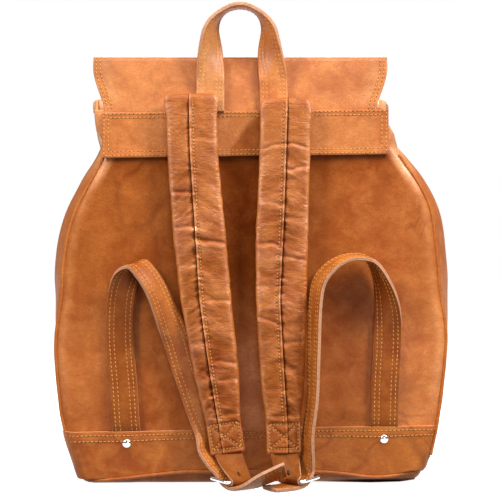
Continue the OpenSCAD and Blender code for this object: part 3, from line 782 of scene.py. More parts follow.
def panel_tone(p):
    """Painted light on the back's leather: painted shade darkens it between the straps, under the band and higher up,
    and painted highlights lighten it toward its sides, its upper corners and its right half
    """
    x, z = p[:, 0], p[:, 2]
    between = np.exp(-((x + 6 + 0.05 * (z - 250)) / 24) ** 2) * step_between(z, 110, 215)
    under = step_between(z, 262, 292)
    dark = 1 - 0.45 * between - 0.2 * under * (1 - between) - 0.15 * bell(x, 0, 75) * (1 - between)
    dark = dark + 0.3 * bell(x, 5, 22) * (1 - step_between(z, 100, 170))
    dark = dark - 0.1 * np.exp(-((np.abs(x - 4) - 84) / 20) ** 4) * (1 - step_between(z, 180, 215))
    dark = dark * (1 - 0.24 * step_between(z, 110, 210)) * (1 + 0.16 * step_between(x, 40, 150))
    rim = np.minimum(x - side_x(z, -1), side_x(z, 1) - x) - seam_inset(z)
    corner = (1 - step_between(rim, 6, 13)) * step_between(z, 258, 284)
    rim = bell(rim, 5, 4.5) * step_between(z, 55, 90) * (1 - step_between(z, 255, 290))
    pale = rim[:, None] * np.array([[0.22, 0.42, 0.9]]) + corner[:, None] * np.array([[1.1, 2.1, 5.0]])
    return dark[:, None] ** np.array([[1.0, 1.3, 1.7]]) * (1 + pale)


piece.fix("back_panel_skin", "leather", "bag", ["back_panel"], panel_tone)

# Front panel
piece = sewn(PANEL)
z = np.linspace(24, RIM_Z - 1, 112)
x_left, x_right = side_x(z, -1) + 0.8, side_x(z, 1) - 0.8
x, zz = panel_grid(x_left, x_right, z, 120)
p2 = join(x, zz)
soft = step_between(zz, 170, 230)
sag = soft * (1.6 * wobble(p2, (55, 80), 11) + 0.6 * wobble(p2, (24, 60), 12)) - 0.8 * (1 - soft)
gather = step_between(zz, 290, 344) * (1.4 * np.sin(x / 5.2 + 1.3 * wobble(p2, (30, 60), 13)))
y = front_y(zz) - 1.4 + sag + gather * 0.8 - edge_roll(x, x_left, x_right, 7, 3.0) - 0.4
panel(piece, x, y, zz, (0, 1, 0))
piece.fix("front_panel_skin", "leather", "bag", ["front_panel"])


def corner_highlight(p):
    """Painted highlight: paler at the upper back corners, beside the top band"""
    pale = step_between(-p[:, 1], 38, 56) * step_between(p[:, 2], 268, 296)
    return paler(pale, (0.5, 1.1, 2.6))


# Gussets
for name, s in SIDES:
    piece = sewn(PANEL)
    z = np.linspace(24, RIM_Z - 1, 112)
    v = np.linspace(0, 1, 44)
    y0 = BACK_Y + 3.0
    yy = y0 + (front_y(z) - 3.0 - y0)[:, None] * v[None, :]
    zz = np.broadcast_to(z[:, None], yy.shape)
    back_seam, front_seam = side_x(z, s) - s * (seam_inset(z) + 0.6), side_x(z, s) - s * 0.8
    seam = back_seam[:, None] * (1 - v) + front_seam[:, None] * v
    p2 = join(yy, zz)
    swell = side_bulge(zz) * np.sin(np.pi * v[None, :]) ** 0.7
    free = np.sin(np.pi * v)[None, :] * step_between(zz, 46, 90)
    swell = swell + free * (1.3 * wobble(p2, (42, 70), 21 + s) + 0.6 * wobble(p2, (20, 34), 24 + s))
    folds = step_between(zz, 296, 346) * np.sin(np.pi * v)[None, :]
    swell = swell + folds * 2.2 * np.sin(yy / 4.6 + wobble(p2, (30, 60), 27))
    x = seam + s * (swell - 1.2 + mouth_flare(zz, s) * np.cos(np.pi / 2 * v)[None, :] ** 1.5)
    panel(piece, x, yy, zz, (s, 0, 0))
    piece.fix(f"gusset_{name}_skin", "leather", "bag", [f"gusset_{name}"], corner_highlight)

# Seam beads along the body's four corners
for name, s in SIDES:
    for face, top in (("back", 297), ("front", 338)):
        z = np.linspace(26, top, 150)
        wave = 0.25 * wobble(join(z, 0), (14, 14), 31)
        piece = Piece([BEAD])
        if face == "back":
            x, y = side_x(z, s) - s * (seam_inset(z) - 0.4), BACK_Y + 2.6
        else:
            x, y = side_x(z, s) + s * 0.6, front_y(z) - 2.4
        tube(piece, join(x + wave, y, z), 1.5, 10)
        piece.fix(f"seam_bead_{face}_{name}", "leather", "bag", [f"piping_{face}_{name}"])


def body_loop(z, out=0.0, corner=9.0, swell=True, y_back=BACK_Y):
    """Points and outward directions round the body at height z, from the back's left end by the right side"""
    x0, x1 = float(side_x(z, -1)) + corner, float(side_x(z, 1)) - corner
    y0, y1 = y_back + corner, float(front_y(z)) - corner
    centres = np.array([(x0, y0), (x1, y0), (x1, y1), (x0, y1), (x0, y0)])
    pts, nrm = [], []
    for k, n in enumerate(np.array([(0, -1), (1, 0), (0, 1), (-1, 0)], float)):
        f = np.linspace(0, 1, 30 if k % 2 else 64)[:, None]
        rise = float(side_bulge(z)) * np.sin(np.pi * f) ** 0.8 if swell and k % 2 else 0 * f
        pts.append(centres[k] * (1 - f) + centres[k + 1] * f + n * (corner + out + rise))
        nrm.append(np.tile(n, (len(f), 1)))
        angles = np.radians(90 * (k - 1) + np.linspace(0, 90, 9)[1:-1])
        nrm.append(join(np.cos(angles), np.sin(angles)))
        pts.append(centres[k + 1] + nrm[-1] * (corner + out))
    return np.vstack(pts), np.vstack(nrm)


# Bottom band all round, its lower edge arched at the back
piece = sewn(LOW)
levels = [0.0, 0.02, 0.12, 0.3, 0.5, 0.7, 0.8, 0.83, 0.86, 0.9, 0.925, 0.96, 1.0]
rows, ups = [], []
for f in levels:
    pts, nrm = body_loop(5 + 42 * f, 1.5)
    x, y = pts[:, 0], pts[:, 1]
    foot = 5.0 + arch(x, y)
    top = 46.5 + 5.5 * step_between(x, -165, 165) - 3.0 * step_between(y, -60, 60)
    h = foot + (top - foot) * f
    p2 = join(x, h)
    out = 0.22 * wobble(p2, (30, 16), 41) + 0.35 * math.sin(math.pi * f)
    high = step_between(np.full(len(x), f), 0.3, 0.95)
    for cx in (-112.2, 119.2):
        out = out + 1.9 * np.exp(-((x - cx) / 15.5) ** 4) * (y < 0) * high
    out = out + 2.2 * np.exp(-((x + 158) / 9) ** 2) * (y < 0) * high
    rows.append(join(x + nrm[:, 0] * out, y + nrm[:, 1] * out, h))
    ups.append(join(nrm[:, 0], nrm[:, 1], 0 * x))
rows, ups = np.array(rows), np.array(ups)
rows, ups = np.concatenate([rows, rows[:, :1]], 1), np.concatenate([ups, ups[:, :1]], 1)
dips = np.zeros(len(levels))
dips[[6, 10]] = 0.25
slab(piece, rows.transpose(1, 0, 2), ups.transpose(1, 0, 2), (1.15 - dips)[None, :], groove=0.25)
for row in (6, 10):
    stitches(piece, rows[row] + ups[row] * 1.1, ups[row])
piece.fix("bottom_band", "leather", "bag",
          [f"bottom_band_{side}" for side in ("back", "front", "left", "right")])

# Base, turned up to the band
piece = sewn(LOW)
rings = []
for inset, h, lift, foot in (
        (46, 0.2, 0, 0), (20, 0.05, 0, 0.3), (12, 0.0, 0, 0.7), (7, 0.7, 0.04, 0.95), (3.6, 2.0, 0.2, 0.9),
        (1.6, 3.4, 0.5, 0.5), (0.6, 5.0, 0.85, 0.1), (0.8, 8.0, 1.0, 0), (2.0, 14.0, 1.0, 0), (4.0, 18.0, 1.0, 0),
        (5.0, 17.0, 1.0, 0), (5.4, 8.0, 0.9, 0), (9, 4.6, 0.3, 0.3), (46, 3.4, 0, 0)):
    pts, nrm = body_loop(4.0, -inset, swell=False)
    x, y = pts[:, 0], pts[:, 1]
    rings.append(join(x, y, h + lift * arch(x, y) + foot * foot_lift(x, y)))
loft(piece, rings)
piece.fix("base_skin", "leather", "bag", ["base_panel"])

for name, y, inward, rise in (("back", BACK_Y - 2.9, 5, 1), ("front", 72.6, -5, 0)):
    x = np.linspace(-146, 146, 120)
    piece = Piece([BEAD])
    tube(piece, join(x, y + inward * (np.abs(x) / 146) ** 12, 3.1 + rise * arch(x, BACK_Y)), 1.6, 12)
    piece.fix(f"base_bead_{name}", "leather", "bag", [f"piping_base_{name}"])

# Top band: an applied strip with a thick turned lower edge and two rows of stitches on every side
TOP_X0, TOP_X1, TOP_Z0, TOP_Z1 = -133.6, 122.4, 295.6, 334.8
piece = sewn(BAND)
zs = [TOP_Z0 + up for up in (0, 0.5, 1.1, 1.9, 3.8, 4.8, 5.8)] + [304, 309, 314, 319, 324, 328]
zs += [TOP_Z1 - down for down in (5.1, 4.1, 3.1, 1.9, 0.9, 0.4, 0)]
edge_dips = [0.1, 0.05, 0.28, 0.05, 0.05, 0.28, 0.05]
low = np.array(edge_dips + [0] * 6 + edge_dips[::-1])
x, zz = np.meshgrid(np.linspace(TOP_X0, TOP_X1, 118), zs, indexing="ij")


def band_y(x, z):
    """The band's middle layer, which stands out a little along its lower edge"""
    lip = 1.5 * (1 - step_between(z, TOP_Z0, TOP_Z0 + 9))
    p2 = join(x, z)
    return BACK_Y - 1.5 - lip - 0.2 * wobble(p2, (26, 14), 51) - 0.35 * wobble(p2, (70, 40), 52)


def band_rise(x):
    """How much higher the band sits toward the right"""
    return 1.6 * (x + 5.6) / 128


mid = join(x, band_y(x, zz), zz + band_rise(x))
slab(piece, mid, grid_normals(mid, (0, -1, 0)), 1.15 - low[None, :], groove=0.25, rim=0)


def sew_band(xs, zs):
    """A row of stitches on the band"""
    points = join(xs, band_y(xs, zs) - 1.05, zs + band_rise(xs))
    stitches(piece, points, (0, -1, 0))


for inset, z0, z1 in ((1.1, TOP_Z0 + 1.1, TOP_Z1 - 0.9), (5.2, TOP_Z0 + 4.8, TOP_Z1 - 4.1)):
    for level in (z0, z1):
        sew_band(np.linspace(TOP_X0 + inset, TOP_X1 - inset, 200), level)
    for place in (TOP_X0 + inset, TOP_X1 - inset):
        sew_band(place, np.linspace(z0, z1, 30))


def band_tone(p):
    """The band is darker where the right pad keeps the light off it"""
    line_x = np.interp(p[:, 2], (301.4, 324.4, 332.0), (-19.3, -2.8, 6.0))
    dark = step_between(p[:, 0] - line_x, -1.5, 2.5) * (1 - step_between(p[:, 0], 14, 24))
    return darker(1 - 0.34 * dark, (1.0, 1.4, 1.8))


piece.fix("top_band_strip", "leather", "bag", ["top_band"], band_tone)

# Lining and mouth binding
piece = Piece([CLOTH])
rings = []
for inset, z in ((45, 7.4), (12, 7.2), (5.5, 9), (4.4, 14), (4.2, 60), (4.2, 110), (4.3, 165), (4.3, 220), (4.4, 260),
                 (4.6, 300), (4.6, 320), (4.6, 333), (5.8, 333), (6, 320), (6, 300), (6, 260), (6, 220), (6, 165),
                 (6, 110), (6, 60), (6.4, 15), (8, 10.4), (14, 8.8), (45, 8.8)):
    pts, nrm = body_loop(z, -inset, corner=16, swell=False)
    shift = 0.5 * wobble(join(pts[:, 0], pts[:, 1], z), (24, 24, 40), 61) * (20 < z < 320)
    rings.append(join(pts[:, 0] + nrm[:, 0] * shift, pts[:, 1] + nrm[:, 1] * shift, z))
loft(piece, rings)
piece.fix("lining_bag", "lining", "bag", ["lining"])

piece = sewn(BAND)
pts, nrm = body_loop(340.0, 0.2, swell=True, y_back=BACK_Y + 5)
pts, nrm = (np.concatenate([loop[61:], loop[:3]]) for loop in (pts, nrm))
pts = pts + nrm * (0.8 * np.sin(np.arange(len(pts)) / 3.1))[:, None] * 0.5
hand = np.where(pts[:, 0] < FRAME_X, -1, 1)
depth = np.clip((pts[:, 1] - BACK_Y - 3) / (float(front_y(340.0)) - BACK_Y - 6), 0, 1)
spread = np.where(hand < 0, 0.6, -6.5) * np.cos(np.pi / 2 * depth) ** 1.5
along = join(pts[:, 0] + hand * spread, pts[:, 1], 341.5)
rim_line = Strip(along, (0, 0, 1), 2.0, False)
ss = np.linspace(0, rim_line.length, 220)
swell = np.sqrt(np.clip(np.minimum(ss, ss[-1] - ss) / 6.0, 0, 1)) * 0.55 + 0.45
profile = [(-5.2, 1.3), (-3.4, 2.0), (-2.8, 1.85), (-2.2, 2.0), (1, 2.2), (3.6, 1.9), (4.9, 0.7), (5.2, -0.7),
           (4.9, -2.1), (3.6, -3.3), (0, -3.6), (-4.6, -3.4), (-5.2, -2.6)]
rings = [[rim_line.at(a * k, s, -0.7 + (h + 0.7) * k) for a, h in profile] for s, k in zip(ss, swell)]
loft(piece, rings)
stitches(piece, rim_line.at(-2.8, ss[4:-4], 1.9), rim_line.up(ss[4:-4]))
piece.fix("mouth_binding_strip", "leather", "bag", ["mouth_binding"], corner_highlight)

# ---------------------------------------------------------------- the flap

FLAP_X, FLAP_HALF = -10.2, 133.3
RIDGE, FRONT_RIDGE = np.array([-58.0, 384.0]), np.array([54.0, 374.0])
TILT = math.radians(8.9)
FRONT_L = 206.0


def front_place(local_y, local_z):
    """The row's y and z of a place in the flap front's own frame"""
    return (FRONT_RIDGE[0] + local_y * math.cos(TILT) - local_z * math.sin(TILT),
            FRONT_RIDGE[1] + local_y * math.sin(TILT) + local_z * math.cos(TILT))


def fillet(points, radius, per=9):
    """A polyline in y, z with its inner corners rounded"""
    out = [points[0]]
    for a, b, c, r in zip(points[:-2], points[1:-1], points[2:], radius):
        a, b, c = map(np.asarray, (a, b, c))
        u, v = unit(a - b), unit(c - b)
        half = math.acos(float(np.clip(u @ v, -1, 1))) / 2
        cut = r / math.tan(half)
        centre = b + unit(u + v) * r / math.sin(half)
        p, q = b + u * cut - centre, b + v * cut - centre
        for f in np.linspace(0, 1, per):
            d = unit(p * (1 - f) + q * f)
            out.append(centre + d * r)
    out.append(points[-1])
    return np.array(out)


bottom = front_place(1.0, -FRONT_L + 0.8)
side_line = fillet([(-70.6, 334.2), (-57.2, 385.2), (54.6, 375.3), bottom], (4.5, 5.5))
flap_line = Strip(join(FLAP_X, side_line[:, 0], side_line[:, 1]), (1, 0, 0), 1.0, False)
S_RIDGE, S_FOLD = (float(flap_line.s[np.argmin(np.linalg.norm(flap_line.p[:, 1:] - fold, axis=1))])
                   for fold in (RIDGE, FRONT_RIDGE))
S_SPLIT = (S_RIDGE + S_FOLD) / 2
S_END = flap_line.length
FLAP_R = 34.0


def flap_half(s):
    """The flap's half width: its lower back corners curve in to the band, its front corners are round"""
    s = np.asarray(s, float)
    foot = 12.6 * (1 - step_between(s, -8, 44))
    near = np.clip(FLAP_R - (S_END - s), 0, FLAP_R)
    return FLAP_HALF - foot - (FLAP_R - np.sqrt(np.maximum(FLAP_R ** 2 - near ** 2, 0)))


def flap_relief(a, s):
    """Soft dents of the flap, each field fading before the folds"""
    p = join(np.asarray(a, float) + 0 * s, np.asarray(s, float) + 0 * a)
    rise = step_between(s, 2, 20) * (1 - step_between(s, S_RIDGE - 14, S_RIDGE))
    top = step_between(s, S_RIDGE, S_RIDGE + 20) * (1 - step_between(s, S_FOLD - 20, S_FOLD))
    front = step_between(s, S_FOLD, S_FOLD + 20) * (1 - step_between(s, S_END - 30, S_END))
    h = rise * (0.5 * wobble(p, (50, 24), 71) + 0.2 * wobble(p, (20, 12), 72))
    h = h + top * (-0.8 + 0.7 * wobble(p, (60, 45), 73)) + front * (-0.7 + 0.5 * wobble(p, (48, 60), 74))
    return h


def on_flap(a, s, out):
    return flap_line.at(a, s, flap_relief(a, s) + out)


def sheet_of_flap(piece, s, half, across, out, half_t, **how):
    """A sheet on the flap's line: half is its half width at s and across runs from -1 to 1"""
    a = half[:, None] * across[None, :]
    ss = s[:, None] + 0 * a
    mid = on_flap(a, ss, out)
    slab(piece, mid, grid_normals(mid, flap_line.up(ss)), half_t, **how)


def bend_flap(obj, s):
    """Bakes the object's placement into its mesh; the places 7 mm before and after s on the flap's line are worked
    out but not used
    """
    start, end = (tuple(flap_line.at(0.0, s + step) * MM) for step in (-7.0, 7.0))
    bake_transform(obj)


def u_shape(half, turn_at, way, radius, inset, count, start=(), step=1.5):
    """A line down the right side of a sheet, round both its corners and up the left side"""
    path = list(start)
    for t in np.radians(np.linspace(0, 90, count)):
        reach = radius - inset
        path.append((half - radius + reach * math.cos(t), turn_at + way * reach * math.sin(t)))
    line, _ = resample(path + [(-a, b) for a, b in path[::-1]], step=step)
    return line[:, 0], line[:, 1]


def flap_stitches(piece, inset, s0, s1):
    """Stitches beside the flap's edge between two places along it"""
    s = np.linspace(s0, s1, int((s1 - s0) / 1.2) + 2)
    for flank in (-1, 1):
        slope = np.gradient(flap_half(s), s)
        a = flank * (flap_half(s) - inset * np.sqrt(1 + np.clip(slope, -2, 2) ** 2))
        stitches(piece, on_flap(a, s, 1.15), flap_line.up(s))


def flap_tone(p):
    """A painted sheen: a pale band just inside the flap's stitches"""
    s = np.array([flap_line.s[np.argmin(((flap_line.p[:, 1:] - q) ** 2).sum(1))] for q in p[:, 1:]])
    inside = flap_half(s) - np.abs(p[:, 0] - FLAP_X)
    painted_sheen = bell(inside, 12.0, 4.0) * step_between(s, 4, 16) * (inside > 6)
    return paler(painted_sheen, (0.04, 0.2, 0.55))


for name, s0, s1, a_body, b_body, at, nodes in (
        ("rear", 0.0, S_SPLIT, "bag", "flap", S_RIDGE, ("flap_rise", "flap_top")),
        ("front", S_SPLIT, S_END, "flap", "flap_front", S_FOLD, ("flap_front",))):
    piece = Piece([FLAP, EDGE, THREAD, HOLE, BAND])
    s = np.unique(np.concatenate([np.arange(s0, s1, 2.2), np.linspace(at - 12, at + 12, 25), [s1]]))
    s = s[(s >= s0) & (s <= s1)]
    if name == "front":
        corner = S_END - FLAP_R * (1 - np.sin(np.linspace(0, math.pi / 2, 16)))
        s = np.unique(np.concatenate([s[s < S_END - FLAP_R], corner]))
    else:
        s = np.unique(np.concatenate([s, np.linspace(0, 44, 26)]))
    s = s[np.concatenate([[True], np.diff(s) > 0.15])]
    u = np.linspace(-1, 1, 84)
    u = np.sign(u) * (1 - (1 - np.abs(u)) ** 1.3)
    sheet_of_flap(piece, s, flap_half(s) - 0.8, u, 0.0, 1.15, groove=0.2, back=4,
                  ends=(name == "rear", name == "front"))
    for inset in (3.0, 6.6):
        if name == "rear":
            flap_stitches(piece, inset, 3, S_SPLIT)
        else:
            flap_stitches(piece, inset, S_SPLIT, S_END - FLAP_R)
            a, along = u_shape(FLAP_HALF, S_END - FLAP_R, 1, FLAP_R, inset, 24)
            stitches(piece, on_flap(a, along, 1.15), flap_line.up(along))
    obj = piece.make(f"flap_leather_{name}", "leather", flap_tone)
    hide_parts(*nodes)
    bend_flap(obj, at)

# Cloth under the flap, in two pieces that meet beside the front fold
for name, s0, s1, node in (("rear", S_RIDGE + 5, S_FOLD - 9, "flap_top_lining"),
                           ("front", S_FOLD - 8.5, S_END - 3, "flap_front_lining")):
    piece = Piece([CLOTH, CLOTH])
    s = np.unique(np.concatenate([np.arange(s0, s1, 3.0), np.linspace(S_FOLD - 12, S_FOLD + 12, 17), [s1]]))
    s = s[(s >= s0) & (s <= s1)]
    if name == "front":
        corner = S_END - 3 - 31 * (1 - np.sin(np.linspace(0, 1.57, 14)))
        s = np.unique(np.concatenate([s[s < S_END - FLAP_R], corner]))
    s = s[np.concatenate([[True], np.diff(s) > 0.15])]
    half = flap_half(np.minimum(s + 3, S_END - 0.2)) - 3.5
    sheet_of_flap(piece, s, half, np.linspace(-1, 1, 60), -1.9, 0.45, edge=0.3, groove=0.0, rim=0)
    obj = piece.make(f"flap_lining_{name}", "lining")
    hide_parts(node)
    if name == "rear":
        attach(obj, "flap")
    else:
        bend_flap(obj, S_FOLD)

# ---------------------------------------------------------------- front pocket

POCKET_HALF, POCKET_Z0, POCKET_Z1, POCKET_R = 95.0, 46.0, 164.0, 22.0
POCKET_BACK, POCKET_FACE = 75.2, 86.2


def pocket_half(z):
    near = np.clip(POCKET_R - (np.asarray(z, float) - POCKET_Z0), 0, POCKET_R)
    return POCKET_HALF - POCKET_R + np.sqrt(np.maximum(POCKET_R ** 2 - near ** 2, 0))


def pocket_y(x, z):
    p2 = join(x + 0 * z, z + 0 * x)
    return POCKET_FACE + 1.0 + 0.12 * wobble(p2, (30, 26), 81) - 1.2 * (np.abs(x) / POCKET_HALF) ** 6


piece = sewn(PANEL)
z = np.unique(np.concatenate([POCKET_Z0 + POCKET_R * (1 - np.cos(np.linspace(0.05, math.pi / 2, 14))),
                              np.linspace(POCKET_Z0 + POCKET_R + 2, POCKET_Z1, 38)]))
x = (pocket_half(z) - 0.8)[:, None] * np.linspace(-1, 1, 70)[None, :]
zz = z[:, None] + 0 * x
mid = join(x, pocket_y(x, zz), zz)
slab(piece, mid, grid_normals(mid, (0, 1, 0)), 1.0, groove=0.2)


def pocket_u(inset, count, down, step=1.5):
    """The line inset from the pocket's sides and foot, from the given way below its top"""
    start = [(POCKET_HALF - inset, POCKET_Z1 - down)]
    return u_shape(POCKET_HALF, POCKET_Z0 + POCKET_R, -1, POCKET_R, inset, count, start, step)


lines = [pocket_u(inset, 16, 3) for inset in (3.0, 6.2)]
lines += [(np.linspace(-POCKET_HALF + 3, POCKET_HALF - 3, 120), POCKET_Z1 - drop) for drop in (3.5, 9.5)]
for a, b in lines:
    points = join(a, pocket_y(a, b) + 1.0, b)
    stitches(piece, points, (0, 1, 0))
piece.fix("pocket_face_sheet", "leather", "bag", ["pocket_face"])

piece = sewn(PANEL)
a, b = pocket_u(1.2, 14, 4, 2.0)
pocket_strip = Strip(join(a, (POCKET_BACK + POCKET_FACE) / 2, b), (0, 1, 0), 2.0, False)
strap(piece, pocket_strip, 5.3, 2.0, rows=(), stitched=(), groove=0, crown=0.2, edge=0.4,
      relief=lambda a, s: -0.9 * (1 - (a / 5.3) ** 2))
piece.fix("pocket_gusset_strip", "leather", "bag", ["pocket_gusset"])

# ---------------------------------------------------------------- metal: rivets, snaps, buckles and prongs

WIRE = 1.6
RIVETS = ((-112, 37), (119, 41))
CLOSURE_X = (-75.0, 57.0)
SNAP_Z = 143


def dome(radius, height, foot=0.5):
    """Profile of a domed rivet head with a thin rim"""
    rim = [(0.05, -0.6), (radius * 0.8, -0.6), (radius, 0.0), (radius, foot * 0.7), (radius * 0.97, foot)]
    return rim + [(radius * 0.93 * math.cos(t), foot + (height - foot) * math.sin(t))
                  for t in np.linspace(0, 1.45, 9)]


piece = Piece([CHROME])
for x, z in RIVETS:
    lathe(piece, dome(4.5, 3.0), (x, -73.5, z), (0, -1, 0))
piece.fix("strap_rivet_domes", "chrome", "bag", ["strap_rivets"])

SOCKET = [(0.05, -0.2), (7.0, -0.2), (7.0, 0.9), (6.5, 1.35), (4.2, 1.45), (3.9, 0.9), (3.0, 0.6), (0.05, 0.6)]
piece = Piece([CHROME])
for x in CLOSURE_X:
    lathe(piece, SOCKET, (x, 88.25, SNAP_Z), (0, 1, 0))
piece.fix("snap_socket_rings", "chrome", "bag", ["snap_sockets"])


class Frame:
    """A buckle's own axes: x along its bars, y from the heel bar to the front bar, z outwards"""

    def __init__(self, origin, x, y):
        self.o, self.x, self.y = (np.asarray(v, float) for v in (origin, x, y))
        self.z = np.cross(self.x, self.y)

    def at(self, p):
        p = np.asarray(p, float)
        return self.o + p[..., :1] * self.x + p[..., 1:2] * self.y + p[..., 2:] * self.z


def rounded_box(x0, x1, y0, y1, r, count):
    """Points round a rectangle with rounded corners, count of them on each"""
    path = []
    for k, (cx, cy) in enumerate(((x1 - r, y1 - r), (x0 + r, y1 - r), (x0 + r, y0 + r), (x1 - r, y0 + r))):
        turns = np.radians(90 * k + np.linspace(0, 90, count))
        path += [(cx + r * math.cos(t), cy + r * math.sin(t)) for t in turns]
    return path


def buckle(where, width, length, corner, name, body, node):
    """A rectangular wire frame with rounded corners"""
    path = rounded_box(-width / 2, width / 2, 0, length, corner, 8)
    line, _ = resample([(x, y, 0.0) for x, y in path], step=1.3, closed=True)
    piece = Piece([CHROME])
    tube(piece, where.at(line[:-1]), WIRE, 14, closed=True)
    piece.fix(name, "chrome", body, [node])


def prong(where, path, thick, name, node):
    """A tapered prong with its eye round the heel bar; path is its (along, out) places"""
    piece = Piece([CHROME])
    lathe(piece, [(1.75, -1.7), (3.0, -1.7), (3.0, 1.7), (1.75, 1.7)], where.o, where.x, 24)
    line = rounded([(0, b, c) for b, c in path], 6)
    radius = np.linspace(thick, 0.85, len(line))
    radius[-1] = 0.4
    tube(piece, where.at(line), radius, 12)
    piece.fix(name, "chrome", node, [node])


def closure_half(left):
    """Half width of the closure strap at a distance from its round tip"""
    near = np.clip(9 - np.asarray(left, float), 0, 9)
    return 1 + np.sqrt(np.maximum(81 - near ** 2, 0))


HEEL = front_place(6.2, 8 - FRONT_L)
closure_up = np.array([0, -math.sin(TILT), math.cos(TILT)])
for i, name in enumerate(("left", "right")):
    where = Frame((CLOSURE_X[i], HEEL[0], HEEL[1]), (-1, 0, 0), closure_up)
    buckle(where, 27, 26, 3.4, f"closure_frame_{name}", "flap_front", f"closure_buckle_{name}")
    prong(where, ((2.2, 1.0), (8, 1.7), (15, 2.2), (21, 2.5), (27.3, 2.75)), 1.25, f"closure_pin_{name}",
          f"closure_prong_{name}")

    # strap coming down the flap, over the front bar, under the heel bar and out through the keeper
    path = [(92, -3.0), (70, -3.0), (48, -3.0), (30, -3.0), (24.5, -2.8), (17, -0.2), (10, 3.0), (4, 4.7), (-4, 4.9),
            (-15, 4.9), (-26, 4.8), (-34, 4.6)]
    strip = Strip(where.at([(0, b, c) for b, c in path]), -where.x, 1.2)
    piece = sewn(STRAP)
    strap(piece, strip, lambda s, end=strip.length: closure_half(end - s), 2.0, rows=(2.4,), crown=0.15, dip=0.2,
          edge=0.6, groove=0.15, stitched=(1 if strip.n[0] @ where.z > 0 else -1,))
    piece.fix(f"closure_strap_band_{name}", "leather", "flap_front", [f"closure_strap_{name}"])

    # chape folded round the heel bar
    turns = np.radians(np.linspace(20, 180, 12))
    path = [(-6, 2.5)] + [(3.0 * math.sin(t), 3.0 * math.cos(t)) for t in turns]
    path += [(-12, -3.2), (-25, -3.2), (-43, -3.2)]
    strip = Strip(where.at([(0, b, c) for b, c in path]), where.x, 1.0, False)
    piece = sewn(STRAP)
    strap(piece, strip, 10, 1.7, rows=(2.4,), crown=0.1, dip=0.15, edge=0.5, groove=0.15, stitched=())
    ss = np.linspace(strip.length - 34, strip.length - 3, 30)
    face = 1 if strip.n[-1] @ where.z > 0 else -1
    for a in (-7.2, 7.2):
        stitches(piece, strip.at(a, ss, 0.85 * face), strip.up(ss) * face)
    piece.fix(f"closure_chape_fold_{name}", "leather", "flap_front", [f"closure_chape_{name}"])

    # keeper
    loop = [(x, -22, z) for x, z in rounded_box(-11.1, 11.1, -4.25, 6.75, 2.5, 7)]
    loop, _ = resample(loop, step=1.2, closed=True)
    piece = sewn(STRAP)
    strip = Strip(where.at(loop), where.y, 1.0, False)
    strap(piece, strip, 4, 1.4, rows=(), middle=4, crown=0.2, edge=0.5, groove=0.1, stitched=())
    piece.fix(f"closure_keeper_loop_{name}", "leather", "flap_front", [f"closure_keeper_{name}"])

piece = Piece([CHROME])
studs = Piece([CHROME])
for x in CLOSURE_X:
    where = Frame((x, HEEL[0], HEEL[1]), (-1, 0, 0), closure_up)
    for b in (62, 84):
        lathe(piece, dome(4.0, 1.7, 0.3), where.at([0, b, -WIRE - 0.4]), where.z)
    lathe(studs, [(0.05, 1.5), (6.0, 1.5), (6.0, 0.3), (5.4, 0.0), (2.6, 0.0), (2.2, -0.5), (0.05, -0.5)],
          where.at([0, -36, -WIRE - 3.2]), where.z)
piece.fix("closure_rivet_heads", "chrome", "flap_front", ["closure_rivets"])
studs.fix("snap_stud_caps", "chrome", "flap_front", ["snap_studs"])

# ---------------------------------------------------------------- handle

HANDLE_X = (-37.0, 20.0)
LEG_TOP, ARC_R = 402.5, 28.5
PIVOT_Z = 357.0


def leg_y(z):
    return np.where(z < PIVOT_Z, -74.2 + 3.2 * (z - 335) / 22, -71 + 4 * np.clip((z - PIVOT_Z) / 30, 0, 1))


legs = np.array([335.4, 341, 347, 352, 357, 364, 372, 380, 391, LEG_TOP])
TOP_LEAN = 3.8
up = [(HANDLE_X[0], float(leg_y(h)), h) for h in legs]
bend = [((HANDLE_X[0] + HANDLE_X[1] - TOP_LEAN) / 2 + (ARC_R - TOP_LEAN / 2) * math.cos(t), -67,
         LEG_TOP + ARC_R * math.sin(t)) for t in np.radians(np.arange(165, 14, -15))]
down = [(HANDLE_X[1] - TOP_LEAN * float(step_between(h, 352, 400)), float(leg_y(h)), h) for h in legs[::-1]]
path = np.array(up + bend + down)
gone = np.concatenate([[0], np.cumsum(np.linalg.norm(np.diff(path, axis=0), axis=1))])
share = gone / gone[-1]


def handle_turn(f):
    return 90 * np.clip((f - 0.13) / 0.30, 0, 1)


def handle_tone(p):
    """Painted highlight: the handle's left leg is a little paler"""
    return paler(0.5 - 0.5 * np.sign(p[:, 0] + 8), (0.0, 0.22, 0.75))


turn = np.radians(np.where(share < 0.5, handle_turn(share), 180 - handle_turn(1 - share)))
side = join(np.cos(turn), np.sin(turn), 0 * turn)
handle_strip = Strip(path, side, step=1.2)
piece = sewn(STRAP)
strap(piece, handle_strip, 12.6, 3.8, rows=(2.4, 5.8), crown=0.45, dip=0.3)
handle = piece.make("handle_strap", "leather", handle_tone)
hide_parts("handle", "handle_tabs")
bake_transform(handle)

# ---------------------------------------------------------------- shoulder straps

PAD_AXIS = np.array([-80.0, 344.0])
PAD_DROP = (0.0, 4.0)
ROOT_X = (-54.0, 31.0)
PAD_CENTRES = (((353, -54), (290, -52), (220, -46), (166, -40.5), (100, -31), (54, -24.5)),
               ((353, 31), (290, 29.5), (220, 27), (166, 26.5), (100, 27.5), (54, 28.5)))
PAD_HALF = ((353, 24), (290, 22.5), (220, 23.5), (166, 22.5), (100, 20), (54, 16))
SEAM_X = (((352, -56), (300, -55), (166, -46.5), (100, -37), (54, -29)),
          ((352, 32.5), (250, 29.5), (166, 25.5), (100, 29), (54, 32)))


def pad_mid_y(z):
    return -85 - 4 * (np.maximum(200 - z, 0) / 150) ** 1.4


def pad_half_t(z):
    return np.minimum(5.0, 3 + 2 * np.maximum(344 - z, 0) / 24)


